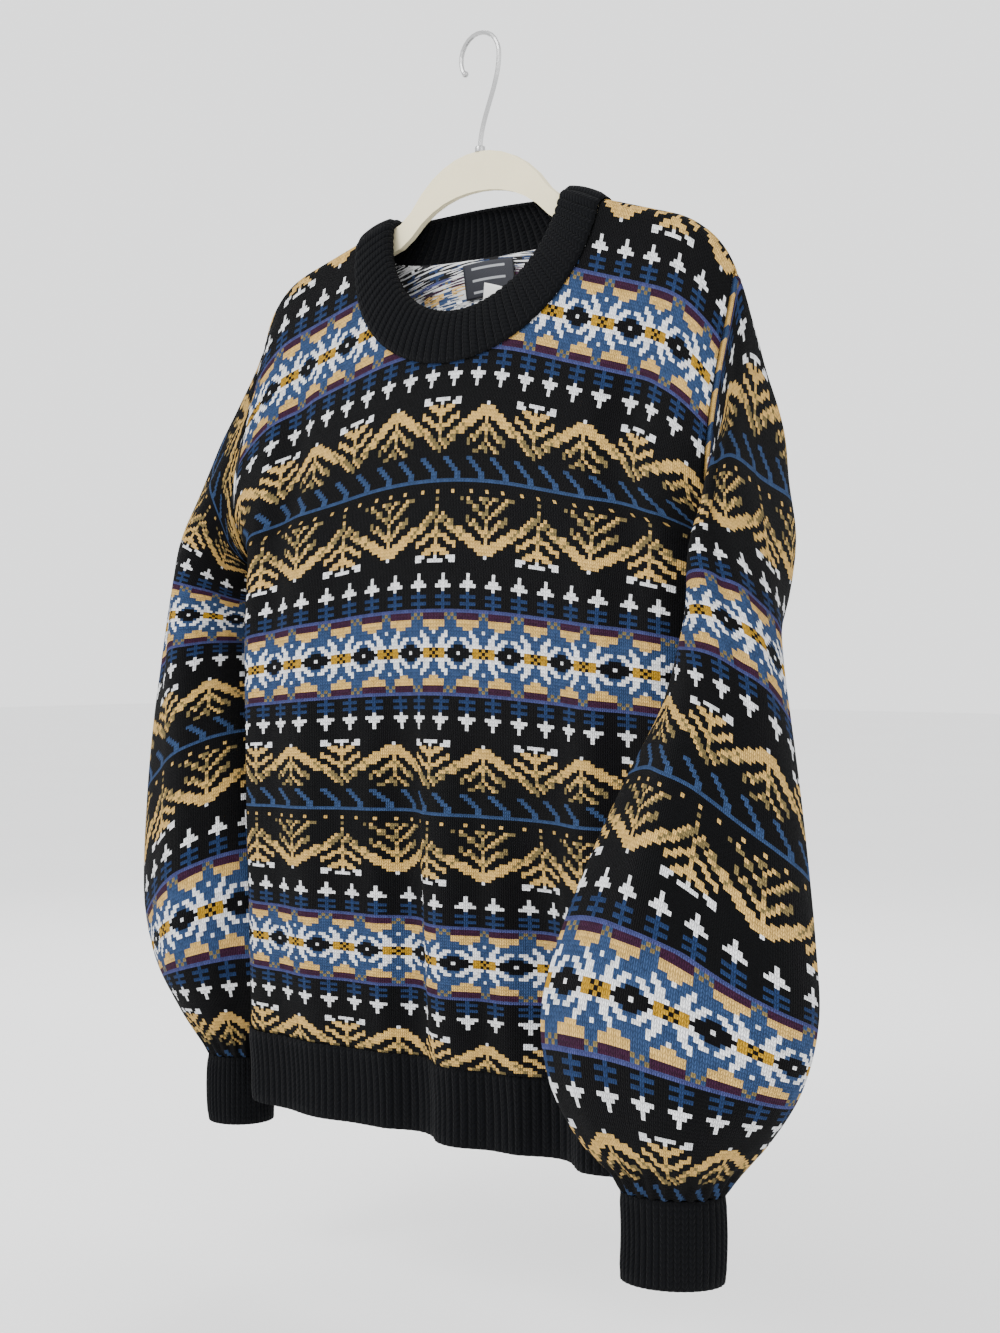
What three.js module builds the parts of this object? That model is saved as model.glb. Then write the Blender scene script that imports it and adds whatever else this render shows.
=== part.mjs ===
// A fair isle jumper hanging on a slim hanger with a wire hook.
// Millimetres, +Z up. The origin is where the hook rests on its rail.
// The jumper faces -Y and the wearer's left side is +X.
import * as THREE from 'three';

// Knitted cloth and seams
const WALL = 3;
const SEAM = 0.3;
const SLEEVE_SEAM = 0.45;
const TURNED_SEAM = 2.3;

// A sleeve goes straight on from the armhole this far before it turns down
const SADDLE = 4;
const DEGREE = Math.PI / 180;

// The shoulder line lies this far under the rail at the middle of the neck
const NECK_DROP = 128;

// Body panels, as knitted: half the width, the depth of the armhole, down to the rib
const HALF_WIDTH = 270;
const ARMHOLE = 235;
const PANEL_LENGTH = 655;
const RIB_LENGTH = 62;

// Neck cut, as half width and depth at the front and the back
const NECK_HALF_WIDTH = 128;
const FRONT_NECK = 138;
const BACK_NECK = 54;
const NECKBAND_WIDTH = 36;

// The cloth turns over the hanger with this radius, and turns at the sides with the next one
const SHOULDER_ROLL = 9;
const SIDE_ROLL = 45;

// Half the width of the body as it hangs, side seam to side seam
const SIDE_REACH = 244.5;

// The shoulder slope has gone this far down the cloth, and its rows hang level with this drop
const LEVEL_FROM = 560;
const LEVEL_DROP = -50;

// How far the armhole stands open, from 0 to 1
const ARMHOLE_GAPE = 0.86;

// Ribs stand this much higher than their grooves
const RIB_HEIGHT = 1.6;
const NECK_RIBS = 80;
const HEM_RIBS_A_SPAN = 2;
const CUFF_RIBS_A_SPAN = 1;
const CUFF_LENGTH = 60;

// Slope of the shoulder, as bends along it: each row ends at `until` with `turn` more slope
const SHOULDER_BENDS = [
  { until: 90, turn: 17 * DEGREE },
  { until: 195, turn: 0 },
  { until: 300, turn: 67 * DEGREE },
];

// Depth of the hanging body in front of and behind the hanger, down the cloth
const BODY_DEPTHS = [
  { down: 14, front: 9, back: 9 },
  { down: 90, front: 28, back: 22 },
  { down: 180, front: 48, back: 38 },
  { down: 300, front: 57, back: 46 },
  { down: 480, front: 56, back: 46 },
  { down: 600, front: 52, back: 44 },
  { down: 720, front: 46, back: 40 },
];

// Long soft folds: place across and its drift, half width, height, and where each starts and ends
const FRONT_FOLDS = [
  { across: -42, drift: 14, half: 34, height: -15, from: 330, to: 760 },
  { across: 12, drift: 8, half: 36, height: 12, from: 360, to: 760 },
  { across: 92, drift: 26, half: 38, height: -16, from: 420, to: 770 },
  { across: 160, drift: -12, half: 34, height: 12, from: 250, to: 740 },
  { across: -150, drift: 18, half: 42, height: 9, from: 200, to: 760 },
  { across: 192, drift: -10, half: 34, height: -8, from: 60, to: 330 },
  { across: -194, drift: 12, half: 34, height: -8, from: 60, to: 340 },
];
const BACK_FOLDS = [
  { across: -70, drift: -12, half: 38, height: -14, from: 300, to: 760 },
  { across: 50, drift: 16, half: 40, height: -12, from: 380, to: 770 },
  { across: 128, drift: -10, half: 36, height: 11, from: 260, to: 750 },
  { across: -140, drift: 14, half: 36, height: 10, from: 230, to: 740 },
  { across: 192, drift: -12, half: 34, height: -8, from: 60, to: 320 },
  { across: -192, drift: 12, half: 34, height: -8, from: 60, to: 330 },
];

// Rows of cloth close together where it turns over the hanger, then down to the underarm and below
const ROLL_DOWNS = [5, 10, 15];
const ARMHOLE_ROWS = 11;
const LOWER_ROWS = 12;

// Spans across a panel: round the lower neck, and along each shoulder
const LOWER_NECK_SPANS = 8;
const NECK_SPANS = LOWER_NECK_SPANS + 2 * ROLL_DOWNS.length + 2;
const SHOULDER_SPANS = 5;
const MIDDLE_COLUMN = SHOULDER_SPANS + NECK_SPANS / 2;

// Sleeve sections from the underarm saddle to the cuff seam. ix, iy, iz is the edge next to the
// body and ox, oy, oz the outer edge, half is half the depth, and round goes from the armhole's
// own outline at 0 to an ellipse at 1. The left sleeve has swung forward.
const LEFT_SLEEVE = [
  { ix: 250, iy: 0, iz: -430, ox: 252, oy: 0, oz: -242, half: 52, round: 0.1 },
  { ix: 255, iy: -1, iz: -430, ox: 259, oy: -2, oz: -270, half: 55, round: 0.3 },
  { ix: 259, iy: -4, iz: -438, ox: 267, oy: -11, oz: -308, half: 58, round: 0.6 },
  { ix: 260, iy: -13, iz: -453, ox: 277, oy: -25, oz: -352, half: 60, round: 0.85 },
  { ix: 258, iy: -31, iz: -474, ox: 290, oy: -40, oz: -398, half: 60, round: 1 },
  { ix: 254, iy: -57, iz: -501, ox: 304, oy: -49, oz: -448, half: 57, round: 1 },
  { ix: 247, iy: -88, iz: -538, ox: 318, oy: -56, oz: -502, half: 53, round: 1 },
  { ix: 236, iy: -118, iz: -585, ox: 333, oy: -66, oz: -562, half: 50, round: 1 },
  { ix: 220, iy: -140, iz: -643, ox: 350, oy: -79, oz: -629, half: 48, round: 1 },
  { ix: 205, iy: -156, iz: -702, ox: 365, oy: -91, oz: -695, half: 47, round: 1 },
  { ix: 197, iy: -163, iz: -750, ox: 372, oy: -98, oz: -746, half: 46, round: 1 },
  { ix: 203, iy: -162, iz: -795, ox: 362, oy: -102, oz: -792, half: 44, round: 1 },
  { ix: 220, iy: -154, iz: -832, ox: 338, oy: -106, oz: -830, half: 38, round: 1 },
  { ix: 236, iy: -140, iz: -856, ox: 314, oy: -105, oz: -855, half: 30, round: 1 },
  { ix: 242, iy: -136, iz: -868, ox: 305, oy: -108, oz: -868, half: 26, round: 1 },
];
const RIGHT_SLEEVE = [
  { ix: 250, iy: 0, iz: -430, ox: 252, oy: 0, oz: -242, half: 52, round: 0.1 },
  { ix: 255, iy: 0, iz: -430, ox: 265, oy: 0, oz: -270, half: 55, round: 0.3 },
  { ix: 259, iy: 0, iz: -438, ox: 285, oy: 2, oz: -306, half: 58, round: 0.6 },
  { ix: 260, iy: 0, iz: -454, ox: 309, oy: 4, oz: -348, half: 60, round: 0.85 },
  { ix: 261, iy: 0, iz: -474, ox: 332, oy: 7, oz: -394, half: 61, round: 1 },
  { ix: 261, iy: 1, iz: -501, ox: 350, oy: 10, oz: -444, half: 61, round: 1 },
  { ix: 260, iy: 2, iz: -538, ox: 367, oy: 13, oz: -500, half: 60, round: 1 },
  { ix: 259, iy: 3, iz: -585, ox: 382, oy: 16, oz: -562, half: 59, round: 1 },
  { ix: 257, iy: 4, iz: -643, ox: 396, oy: 19, oz: -630, half: 58, round: 1 },
  { ix: 254, iy: 5, iz: -700, ox: 405, oy: 21, oz: -694, half: 58, round: 1 },
  { ix: 252, iy: 6, iz: -748, ox: 405, oy: 22, oz: -744, half: 57, round: 1 },
  { ix: 252, iy: 6, iz: -792, ox: 389, oy: 21, oz: -790, half: 53, round: 1 },
  { ix: 255, iy: 5, iz: -828, ox: 352, oy: 17, oz: -827, half: 44, round: 1 },
  { ix: 260, iy: 4, iz: -852, ox: 323, oy: 13, oz: -852, half: 33, round: 1 },
  { ix: 262, iy: 4, iz: -864, ox: 316, oy: 11, oz: -864, half: 28, round: 1 },
];

// Soft folds down a sleeve: place round it in turns, half width, height, and the sections it crosses
const SLEEVE_FOLDS = [
  { turn: 0.17, half: 0.07, height: -12, from: 2, to: 9 },
  { turn: 0.3, half: 0.06, height: 8, from: 3, to: 13 },
  { turn: 0.42, half: 0.05, height: -8, from: 7, to: 15 },
  { turn: 0.68, half: 0.08, height: -11, from: 3, to: 12 },
  { turn: 0.86, half: 0.07, height: -8, from: 5, to: 15 },
];

// Hanger: a flat board with a raised middle, and round ends inside the shoulders
const HANGER_HALF_THICKNESS = 3;
const HANGER_HALF_SPAN = 196;
const HANGER_UNDER_CLOTH = 3.4;
const ARM_HEIGHT = 20;
const HUMP_TOP = -95;
const HUMP_HEIGHT = 32;
const HUMP_HALF_WIDTH = 78;

// Hook: bent wire, with its bearing point at the origin
const WIRE_RADIUS = 1.9;
const HOOK_RADIUS = 20;
const HOOK_SWEEP = 215 * DEGREE;
const HOOK_SIDES = 8;

// Woven label and size tag inside the back neck. The back's wall is flat between its places,
// so each plate stands a little off the true curve
const LABEL = { across: -4, down: 58, halfWidth: 27, height: 24, thickness: 0.8, off: 0.8 };
const SIZE_TAG = { across: 10, down: 82.4, halfWidth: 13, height: 16, thickness: 0.8, off: 0.8 };

const FRONT = { sign: -1, depth: 'front', folds: FRONT_FOLDS };
const BACK = { sign: 1, depth: 'back', folds: BACK_FOLDS };

// Small helpers
const mix = (a, b, w) => a + (b - a) * w;
const clamp = (value, low, high) => Math.min(Math.max(value, low), high);

function ease(value) {
  const w = clamp(value, 0, 1);
  return w * w * (3 - 2 * w);
}

// A fold rises and falls along and across itself like a bell
function bell(value) {
  const w = clamp(Math.abs(value), 0, 1);
  return (1 - w * w) ** 2;
}

// Point and slope on the shoulder line, `across` measured along the cloth from the middle
function shoulderAt(across) {
  let start = 0;
  let slope = 0;
  let x = 0;
  let z = 0;
  for (const bend of SHOULDER_BENDS) {
    const length = clamp(across - start, 0, bend.until - start);
    const curve = bend.turn / (bend.until - start);
    const end = slope + curve * length;
    if (curve > 0) {
      x += (Math.sin(end) - Math.sin(slope)) / curve;
      z -= (Math.cos(slope) - Math.cos(end)) / curve;
    } else {
      x += Math.cos(slope) * length;
      z -= Math.sin(slope) * length;
    }
    slope = end;
    start = bend.until;
  }
  return { x, z };
}

// Depth of the body at a place down the cloth, from the table of depths
function depthAt(side, down) {
  const roll = SHOULDER_ROLL * (Math.PI / 2);
  if (down < roll) {
    return SHOULDER_ROLL * Math.sin(down / SHOULDER_ROLL);
  }
  const last = BODY_DEPTHS.length - 1;
  let row = 0;
  while (row < last - 1 && BODY_DEPTHS[row + 1].down < down) {
    row += 1;
  }
  const here = BODY_DEPTHS[row];
  const next = BODY_DEPTHS[row + 1];
  const w = clamp((down - here.down) / (next.down - here.down), 0, 1);
  return mix(here[side.depth], next[side.depth], w);
}

// Height that the long folds add at a place on a panel
function foldAt(folds, across, down) {
  let height = 0;
  for (const fold of folds) {
    const along = (down - fold.from) / (fold.to - fold.from);
    const centre = fold.across + fold.drift * along;
    height += fold.height * bell((across - centre) / fold.half) * bell(2 * along - 1) ** 0.5;
  }
  return height;
}

// Place on the middle of the cloth: across from the centre line, and down from the shoulder line
function clothPoint(side, across, down) {
  const away = Math.abs(across);
  const top = shoulderAt(away);
  const below = down / ARMHOLE;
  const gape = below < 1 ? ARMHOLE_GAPE * Math.sin(Math.PI * clamp(below, 0, 1)) ** 0.8 : 0;
  const sweep = (Math.PI / 2) * (1 - gape);
  const straight = HALF_WIDTH - SIDE_ROLL * sweep;
  const turned = Math.max(away - straight, 0) / SIDE_ROLL;
  const reach = SIDE_REACH / (straight + SIDE_ROLL * Math.sin(sweep));
  const hanging = (Math.min(away, straight) + SIDE_ROLL * Math.sin(turned)) * reach;
  const x = Math.sign(across) * mix(top.x, hanging, ease(below));
  const deep = depthAt(side, down) * Math.cos(turned);
  const fold = foldAt(side.folds, across, down) * Math.cos(turned);
  const roll = SHOULDER_ROLL * (Math.PI / 2);
  const overRoll = SHOULDER_ROLL * (1 - Math.cos(Math.min(down, roll) / SHOULDER_ROLL));
  const drop = overRoll + Math.max(down - roll, 0);
  const slope = mix(top.z, LEVEL_DROP, ease(down / LEVEL_FROM));
  return new THREE.Vector3(x, side.sign * (SEAM / 2 + deep + fold), slope - drop - NECK_DROP);
}

// Direction out of the cloth at a place on a panel
function clothNormal(side, across, down) {
  const step = 0.05;
  const left = clothPoint(side, across - step, down);
  const right = clothPoint(side, across + step, down);
  const upper = clothPoint(side, across, Math.max(down - step, 0));
  const lower = clothPoint(side, across, down + step);
  const normal = right.sub(left).cross(lower.sub(upper));
  return normal.multiplyScalar(side.sign).normalize();
}

// Both faces of the cloth at a place on a panel
function clothFaces(side, across, down) {
  const middle = clothPoint(side, across, down);
  const normal = clothNormal(side, across, down);
  const sideSeam = Math.abs(across) > HALF_WIDTH - 0.01 && down > ARMHOLE - 0.01;
  if (down === 0 || sideSeam) {
    normal.y = 0;
    normal.normalize();
  }
  return {
    middle,
    normal,
    outer: middle.clone().addScaledVector(normal, WALL / 2),
    inner: middle.clone().addScaledVector(normal, -WALL / 2),
  };
}

// Closed wall between an outer and an inner grid of points. A ring's last column joins its first.
function wallGeometry(outer, inner, ring) {
  const rows = outer.length;
  const columns = outer[0].length;
  const spans = ring ? columns : columns - 1;
  const positions = [];
  for (const grid of [outer, inner]) {
    for (const row of grid) {
      for (const point of row) {
        positions.push(point.x, point.y, point.z);
      }
    }
  }
  const at = (face, row, column) => (face * rows + row) * columns + (column % columns);
  const index = [];
  const quad = (a, b, c, d) => index.push(a, b, c, a, c, d);
  for (let row = 0; row + 1 < rows; row += 1) {
    for (let column = 0; column < spans; column += 1) {
      const next = column + 1;
      quad(at(0, row, column), at(0, row + 1, column), at(0, row + 1, next), at(0, row, next));
      quad(at(1, row, column), at(1, row, next), at(1, row + 1, next), at(1, row + 1, column));
    }
    if (!ring) {
      const end = columns - 1;
      quad(at(0, row, 0), at(1, row, 0), at(1, row + 1, 0), at(0, row + 1, 0));
      quad(at(0, row, end), at(0, row + 1, end), at(1, row + 1, end), at(1, row, end));
    }
  }
  const last = rows - 1;
  for (let column = 0; column < spans; column += 1) {
    const next = column + 1;
    quad(at(0, 0, column), at(0, 0, next), at(1, 0, next), at(1, 0, column));
    quad(at(0, last, column), at(1, last, column), at(1, last, next), at(0, last, next));
  }
  const geometry = new THREE.BufferGeometry();
  geometry.setAttribute('position', new THREE.Float32BufferAttribute(positions, 3));
  geometry.setIndex(outwards(positions, index));
  return geometry;
}

// The same triangles, turned so that their volume is positive
function outwards(positions, index) {
  const corner = (k) => new THREE.Vector3().fromArray(positions, index[k] * 3);
  let volume = 0;
  for (let k = 0; k < index.length; k += 3) {
    volume += corner(k).dot(corner(k + 1).cross(corner(k + 2)));
  }
  if (volume > 0) {
    return index;
  }
  const turned = [];
  for (let k = 0; k < index.length; k += 3) {
    turned.push(index[k], index[k + 2], index[k + 1]);
  }
  return turned;
}

// Angles round a neck edge, close together where it runs over the hanger
function neckAngles(neckDepth) {
  const rolled = [0, ...ROLL_DOWNS].map((down) => Math.acos(down / neckDepth));
  const open = rolled[rolled.length - 1];
  const angles = rolled.map((angle) => -angle);
  for (let k = 1; k < LOWER_NECK_SPANS + 2; k += 1) {
    angles.push(open * ((2 * k) / (LOWER_NECK_SPANS + 2) - 1));
  }
  return [...angles, ...rolled.reverse()];
}

// Where the columns of a panel start at the neck or shoulder, and end at the rib
function panelColumns(neckDepth) {
  const tops = [];
  const shoulder = HALF_WIDTH - NECK_HALF_WIDTH;
  for (let k = 0; k < SHOULDER_SPANS; k += 1) {
    tops.push({ across: -HALF_WIDTH + (shoulder * k) / SHOULDER_SPANS, down: 0 });
  }
  for (const angle of neckAngles(neckDepth)) {
    tops.push({ across: NECK_HALF_WIDTH * Math.sin(angle), down: edgeDown(neckDepth, angle) });
  }
  for (let k = 1; k <= SHOULDER_SPANS; k += 1) {
    tops.push({ across: NECK_HALF_WIDTH + (shoulder * k) / SHOULDER_SPANS, down: 0 });
  }
  const spans = tops.length - 1;
  return tops.map((top, k) => ({ ...top, foot: HALF_WIDTH * ((2 * k) / spans - 1) }));
}

// Depth of a neck edge at an angle from its middle, exactly nothing at the shoulder
function edgeDown(depth, angle) {
  return Math.abs(angle) > 89.9 * DEGREE ? 0 : depth * Math.cos(angle);
}

// Share of the way down a column at each row, with one row at the underarm
function panelRows() {
  const underarm = ARMHOLE / PANEL_LENGTH;
  const shares = [0, ...ROLL_DOWNS].map((down) => down / PANEL_LENGTH);
  const start = shares[shares.length - 1];
  const spans = ARMHOLE_ROWS - ROLL_DOWNS.length;
  for (let k = 1; k < spans; k += 1) {
    shares.push(mix(start, underarm, k / spans));
  }
  for (let k = 0; k <= LOWER_ROWS; k += 1) {
    shares.push(mix(underarm, 1, k / LOWER_ROWS));
  }
  return shares;
}

// Faces of a panel as rows of places, from the neck and shoulders down to the rib
function panelFaces(side, neckDepth) {
  const columns = panelColumns(neckDepth);
  return panelRows().map((share) => columns.map((column) => {
    const across = mix(column.across, column.foot, ease(share));
    return clothFaces(side, across, mix(column.down, PANEL_LENGTH, share));
  }));
}

const faceGrid = (faces, name) => faces.map((row) => row.map((place) => place[name]));

// A place moved bodily in one direction
function moved(place, direction, distance) {
  const shift = direction.clone().multiplyScalar(distance);
  return {
    middle: place.middle.clone().add(shift),
    normal: place.normal,
    outer: place.outer.clone().add(shift),
    inner: place.inner.clone().add(shift),
  };
}

// A place part of the way between two others
function between(a, b, w) {
  return {
    middle: a.middle.clone().lerp(b.middle, w),
    normal: a.normal.clone().lerp(b.normal, w).normalize(),
    outer: a.outer.clone().lerp(b.outer, w),
    inner: a.inner.clone().lerp(b.inner, w),
  };
}

// Ribs on a band: every second place round it is raised on its outer face
function ribbed(places, ribsASpan) {
  const result = [];
  const steps = ribsASpan * 2;
  for (let k = 0; k < places.length; k += 1) {
    const next = places[(k + 1) % places.length];
    for (let step = 0; step < steps; step += 1) {
      const place = between(places[k], next, step / steps);
      result.push({ ...place, raised: step % 2 === 1 });
    }
  }
  return result;
}

function raiseRibs(row, share) {
  return row.map((place) => {
    const height = place.raised ? RIB_HEIGHT * share : 0;
    return place.outer.clone().addScaledVector(place.normal, height);
  });
}

// Edge of an armhole, down the front and up the back, with its direction out of the cloth
function armholeEdge(frontFaces, backFaces, column) {
  const edge = [];
  for (const faces of [frontFaces, backFaces]) {
    const places = [];
    for (let row = 0; row <= ARMHOLE_ROWS; row += 1) {
      const place = faces[row][column];
      const before = faces[Math.max(row - 1, 0)][column].middle;
      const after = faces[Math.min(row + 1, ARMHOLE_ROWS)][column].middle;
      const along = after.clone().sub(before).normalize();
      const out = place.normal.clone().cross(along).normalize();
      if (out.dot(place.middle.clone().sub(faces[row][MIDDLE_COLUMN].middle)) < 0) {
        out.negate();
      }
      if (row === 0 || row === ARMHOLE_ROWS) {
        out.y = 0;
        out.normalize();
      }
      if (row === ARMHOLE_ROWS) {
        out.set(0, 0, 1);
      }
      const turned = row === 0 || row >= ARMHOLE_ROWS - 1;
      places.push({ ...moved(place, out, turned ? TURNED_SEAM : SLEEVE_SEAM), out });
    }
    edge.push(...(faces === frontFaces ? places : places.reverse()));
  }
  return edge;
}

// One section of a sleeve between its edge next to the body and its outer edge
function sleeveSection(section, mirror, count, loop, number) {
  const inner = new THREE.Vector3(section.ix * mirror, section.iy, section.iz);
  const outer = new THREE.Vector3(section.ox * mirror, section.oy, section.oz);
  const centre = inner.clone().lerp(outer, 0.5);
  const long = outer.clone().sub(inner).multiplyScalar(0.5);
  const flat = new THREE.Vector3(long.x, long.y, 0);
  const lean = clamp(flat.length() / long.length(), 0, 1) ** 2;
  const across = new THREE.Vector3(-long.y, long.x, 0).normalize();
  const deep = new THREE.Vector3(0, 1, 0).lerp(across.multiplyScalar(mirror), lean).normalize();
  const half = count / 2;
  const points = [];
  for (let k = 0; k < count; k += 1) {
    const back = k >= half;
    const share = back ? (k - half + 0.06) / (half - 1 + 0.12) : (k + 0.06) / (half - 1 + 0.12);
    const angle = Math.PI * (back ? 1 + share : share);
    const turn = angle / (2 * Math.PI);
    let swell = section.half;
    for (const fold of SLEEVE_FOLDS) {
      const along = (number - fold.from) / (fold.to - fold.from);
      swell += fold.height * bell((turn - fold.turn) / fold.half) * bell(2 * along - 1);
    }
    const wide = mix(loop[k].wide, Math.cos(angle), section.round);
    const depth = mix(loop[k].deep, -Math.sin(angle) * swell, section.round);
    points.push(centre.clone().addScaledVector(long, wide).addScaledVector(deep, depth));
  }
  return points;
}

// The armhole's own outline, as shares of its height and as depth
function loopOutline(edge) {
  const heights = edge.map((place) => place.middle.z);
  const high = Math.max(...heights);
  const low = Math.min(...heights);
  return edge.map((place) => ({
    wide: (2 * (place.middle.z - low)) / (high - low) - 1,
    deep: place.middle.y,
  }));
}

// Faces of a tube from rings of middle points, each ring closed
function tubeFaces(rings) {
  const rows = rings.length;
  return rings.map((ring, row) => ring.map((middle, column) => {
    const count = ring.length;
    const before = ring[(column + count - 1) % count];
    const after = ring[(column + 1) % count];
    const upper = rings[Math.max(row - 1, 0)][column];
    const lower = rings[Math.min(row + 1, rows - 1)][column];
    const round = after.clone().sub(before);
    const normal = round.cross(lower.clone().sub(upper)).normalize();
    return { middle, normal };
  }));
}

// A sleeve from the armhole edge to the cuff seam
function sleeveFaces(edge, sections, mirror) {
  const loop = loopOutline(edge);
  const rings = [
    edge.map((place) => place.middle),
    edge.map((place) => moved(place, place.out, SADDLE).middle),
  ];
  sections.forEach((section, number) => {
    rings.push(sleeveSection(section, mirror, edge.length, loop, number + 1));
  });
  const faces = tubeFaces(rings).map((row) => row.map(({ middle, normal }) => {
    const out = normal.clone().multiplyScalar(mirror);
    return {
      middle,
      normal: out,
      outer: middle.clone().addScaledVector(out, WALL / 2),
      inner: middle.clone().addScaledVector(out, -WALL / 2),
    };
  }));
  faces[0] = edge;
  return faces;
}

function sleeveGeometry(faces) {
  return wallGeometry(faceGrid(faces, 'outer'), faceGrid(faces, 'inner'), true);
}

// A ribbed cuff that goes straight down from the sleeve's last ring
function cuffGeometry(faces) {
  const start = ribbed(faces[faces.length - 1], CUFF_RIBS_A_SPAN);
  const down = new THREE.Vector3(0, 0, -1);
  const rows = [
    { at: SEAM, raise: 0.6 },
    { at: CUFF_LENGTH / 2, raise: 1 },
    { at: CUFF_LENGTH, raise: 0.6 },
  ];
  const places = rows.map((row) => start.map((place) => (
    { ...moved(place, down, row.at), raised: place.raised })));
  const outer = places.map((row, k) => raiseRibs(row, rows[k].raise));
  return wallGeometry(outer, faceGrid(places, 'inner'), true);
}

// The neckband: from the neck edge of both panels, in and up along the shoulders
function neckbandGeometry(frontFaces, backFaces) {
  const rows = [
    { width: SEAM, raise: 0.4, stand: 0 },
    { width: NECKBAND_WIDTH * 0.5, raise: 1, stand: 1.5 },
    { width: NECKBAND_WIDTH, raise: 0.5, stand: 0 },
  ];
  const rings = rows.map(({ width, stand }) => [
    ...bandRow(FRONT, frontFaces, FRONT_NECK, width, stand),
    ...bandRow(BACK, backFaces, BACK_NECK, width, stand).reverse(),
  ]);
  const ribbedRings = evenRibs(rings, NECK_RIBS);
  const outer = ribbedRings.map((ring, k) => raiseRibs(ring, rows[k].raise));
  return wallGeometry(outer, faceGrid(ribbedRings, 'inner'), true);
}

// One row of the neckband along the front or the back, `width` in from the neck edge
function bandRow(side, faces, depth, width, stand) {
  return neckAngles(depth).map((angle, k) => {
    if (width > SEAM) {
      return bandPlace(side, depth, angle, width, stand);
    }
    const edge = faces[0][SHOULDER_SPANS + k];
    const inside = bandPlace(side, depth, angle, 2, 0).middle;
    return moved(edge, inside.sub(edge.middle).normalize(), SEAM);
  });
}

// A place on the neckband, `width` in from the neck edge
function bandPlace(side, depth, angle, width, stand) {
  const across = (NECK_HALF_WIDTH - width) * Math.sin(angle);
  const place = clothFaces(side, across, edgeDown(depth - width, angle));
  return moved(place, place.normal, stand);
}

// Rings of places laid out again so that their ribs are even along the first ring
function evenRibs(rings, ribs) {
  const nodes = rings[0];
  const count = nodes.length;
  const lengths = nodes.map((node, k) => node.middle.distanceTo(nodes[(k + 1) % count].middle));
  const whole = lengths.reduce((sum, length) => sum + length, 0);
  const marks = [];
  let span = 0;
  let passed = 0;
  for (let k = 0; k < ribs * 2; k += 1) {
    const along = (whole * k) / (ribs * 2);
    while (passed + lengths[span] < along) {
      passed += lengths[span];
      span += 1;
    }
    marks.push({ span, share: (along - passed) / lengths[span], raised: k % 2 === 1 });
  }
  return rings.map((ring) => marks.map(({ span: at, share, raised }) => (
    { ...between(ring[at], ring[(at + 1) % count], share), raised })));
}

// The hem rib: from the foot of both panels straight on down
function hemGeometry(frontFaces, backFaces) {
  const foot = (faces) => faces[faces.length - 1];
  const ends = [...foot(frontFaces), ...foot(backFaces).slice().reverse()];
  const start = ribbed(ends, HEM_RIBS_A_SPAN);
  const rows = [
    { at: SEAM, raise: 0.5, inward: 0 },
    { at: RIB_LENGTH * 0.5, raise: 1, inward: 1.5 },
    { at: RIB_LENGTH, raise: 0.5, inward: 3 },
  ];
  const places = rows.map((row) => start.map((place) => {
    const lowered = moved(place, new THREE.Vector3(0, 0, -1), row.at);
    const level = new THREE.Vector3(place.normal.x, place.normal.y, 0);
    return { ...moved(lowered, level, -row.inward), raised: place.raised };
  }));
  const outer = places.map((row, k) => raiseRibs(row, rows[k].raise));
  return wallGeometry(outer, faceGrid(places, 'inner'), true);
}

// A small sewn plate on the inner face of the back, made from the back's own places
function plateGeometry(plate) {
  const outer = [];
  const inner = [];
  for (const lift of [plate.off, plate.off + plate.thickness]) {
    const grid = lift === plate.off ? outer : inner;
    for (const down of [0, plate.height]) {
      const row = [];
      for (const across of [-plate.halfWidth, 0, plate.halfWidth]) {
        const place = clothFaces(BACK, plate.across + across, plate.down + down);
        row.push(place.inner.clone().addScaledVector(place.normal, -lift));
      }
      grid.push(row);
    }
  }
  return wallGeometry(outer, inner, false);
}

// Outline of the hanger: over the raised middle and arms, and back underneath
function hangerOutline() {
  const tops = [];
  const steps = 32;
  for (let k = 0; k <= steps; k += 1) {
    const along = HANGER_HALF_SPAN * ((2 * k) / steps - 1);
    const place = shoulderAt(Math.abs(along));
    const hump = Math.max(1 - (place.x / HUMP_HALF_WIDTH) ** 2, 0);
    const top = mix(place.z - NECK_DROP - HANGER_UNDER_CLOTH, HUMP_TOP, hump);
    tops.push({ x: Math.sign(along) * place.x, top, deep: mix(ARM_HEIGHT, HUMP_HEIGHT, hump) });
  }
  const shape = new THREE.Shape();
  tops.forEach(({ x, top }, k) => (k === 0 ? shape.moveTo(x, top) : shape.lineTo(x, top)));
  const tip = tops[tops.length - 1];
  const inward = tops[tops.length - 2];
  const slope = Math.atan2(inward.top - tip.top, tip.x - inward.x);
  const radius = tip.deep / 2;
  const centre = { x: tip.x - radius * Math.sin(slope), y: tip.top - radius * Math.cos(slope) };
  shape.absarc(centre.x, centre.y, radius, Math.PI / 2 - slope, -Math.PI / 2, true);
  tops.slice(1, -1).reverse().forEach(({ x, top, deep }) => shape.lineTo(x, top - deep));
  shape.absarc(-centre.x, centre.y, radius, -Math.PI / 2, -1.5 * Math.PI + slope, true);
  return shape;
}

function hangerGeometry() {
  const geometry = new THREE.ExtrudeGeometry(hangerOutline(), {
    depth: 2 * HANGER_HALF_THICKNESS,
    bevelEnabled: false,
    curveSegments: 6,
  });
  geometry.rotateX(Math.PI / 2);
  geometry.translate(0, HANGER_HALF_THICKNESS, 0);
  return geometry;
}

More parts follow.
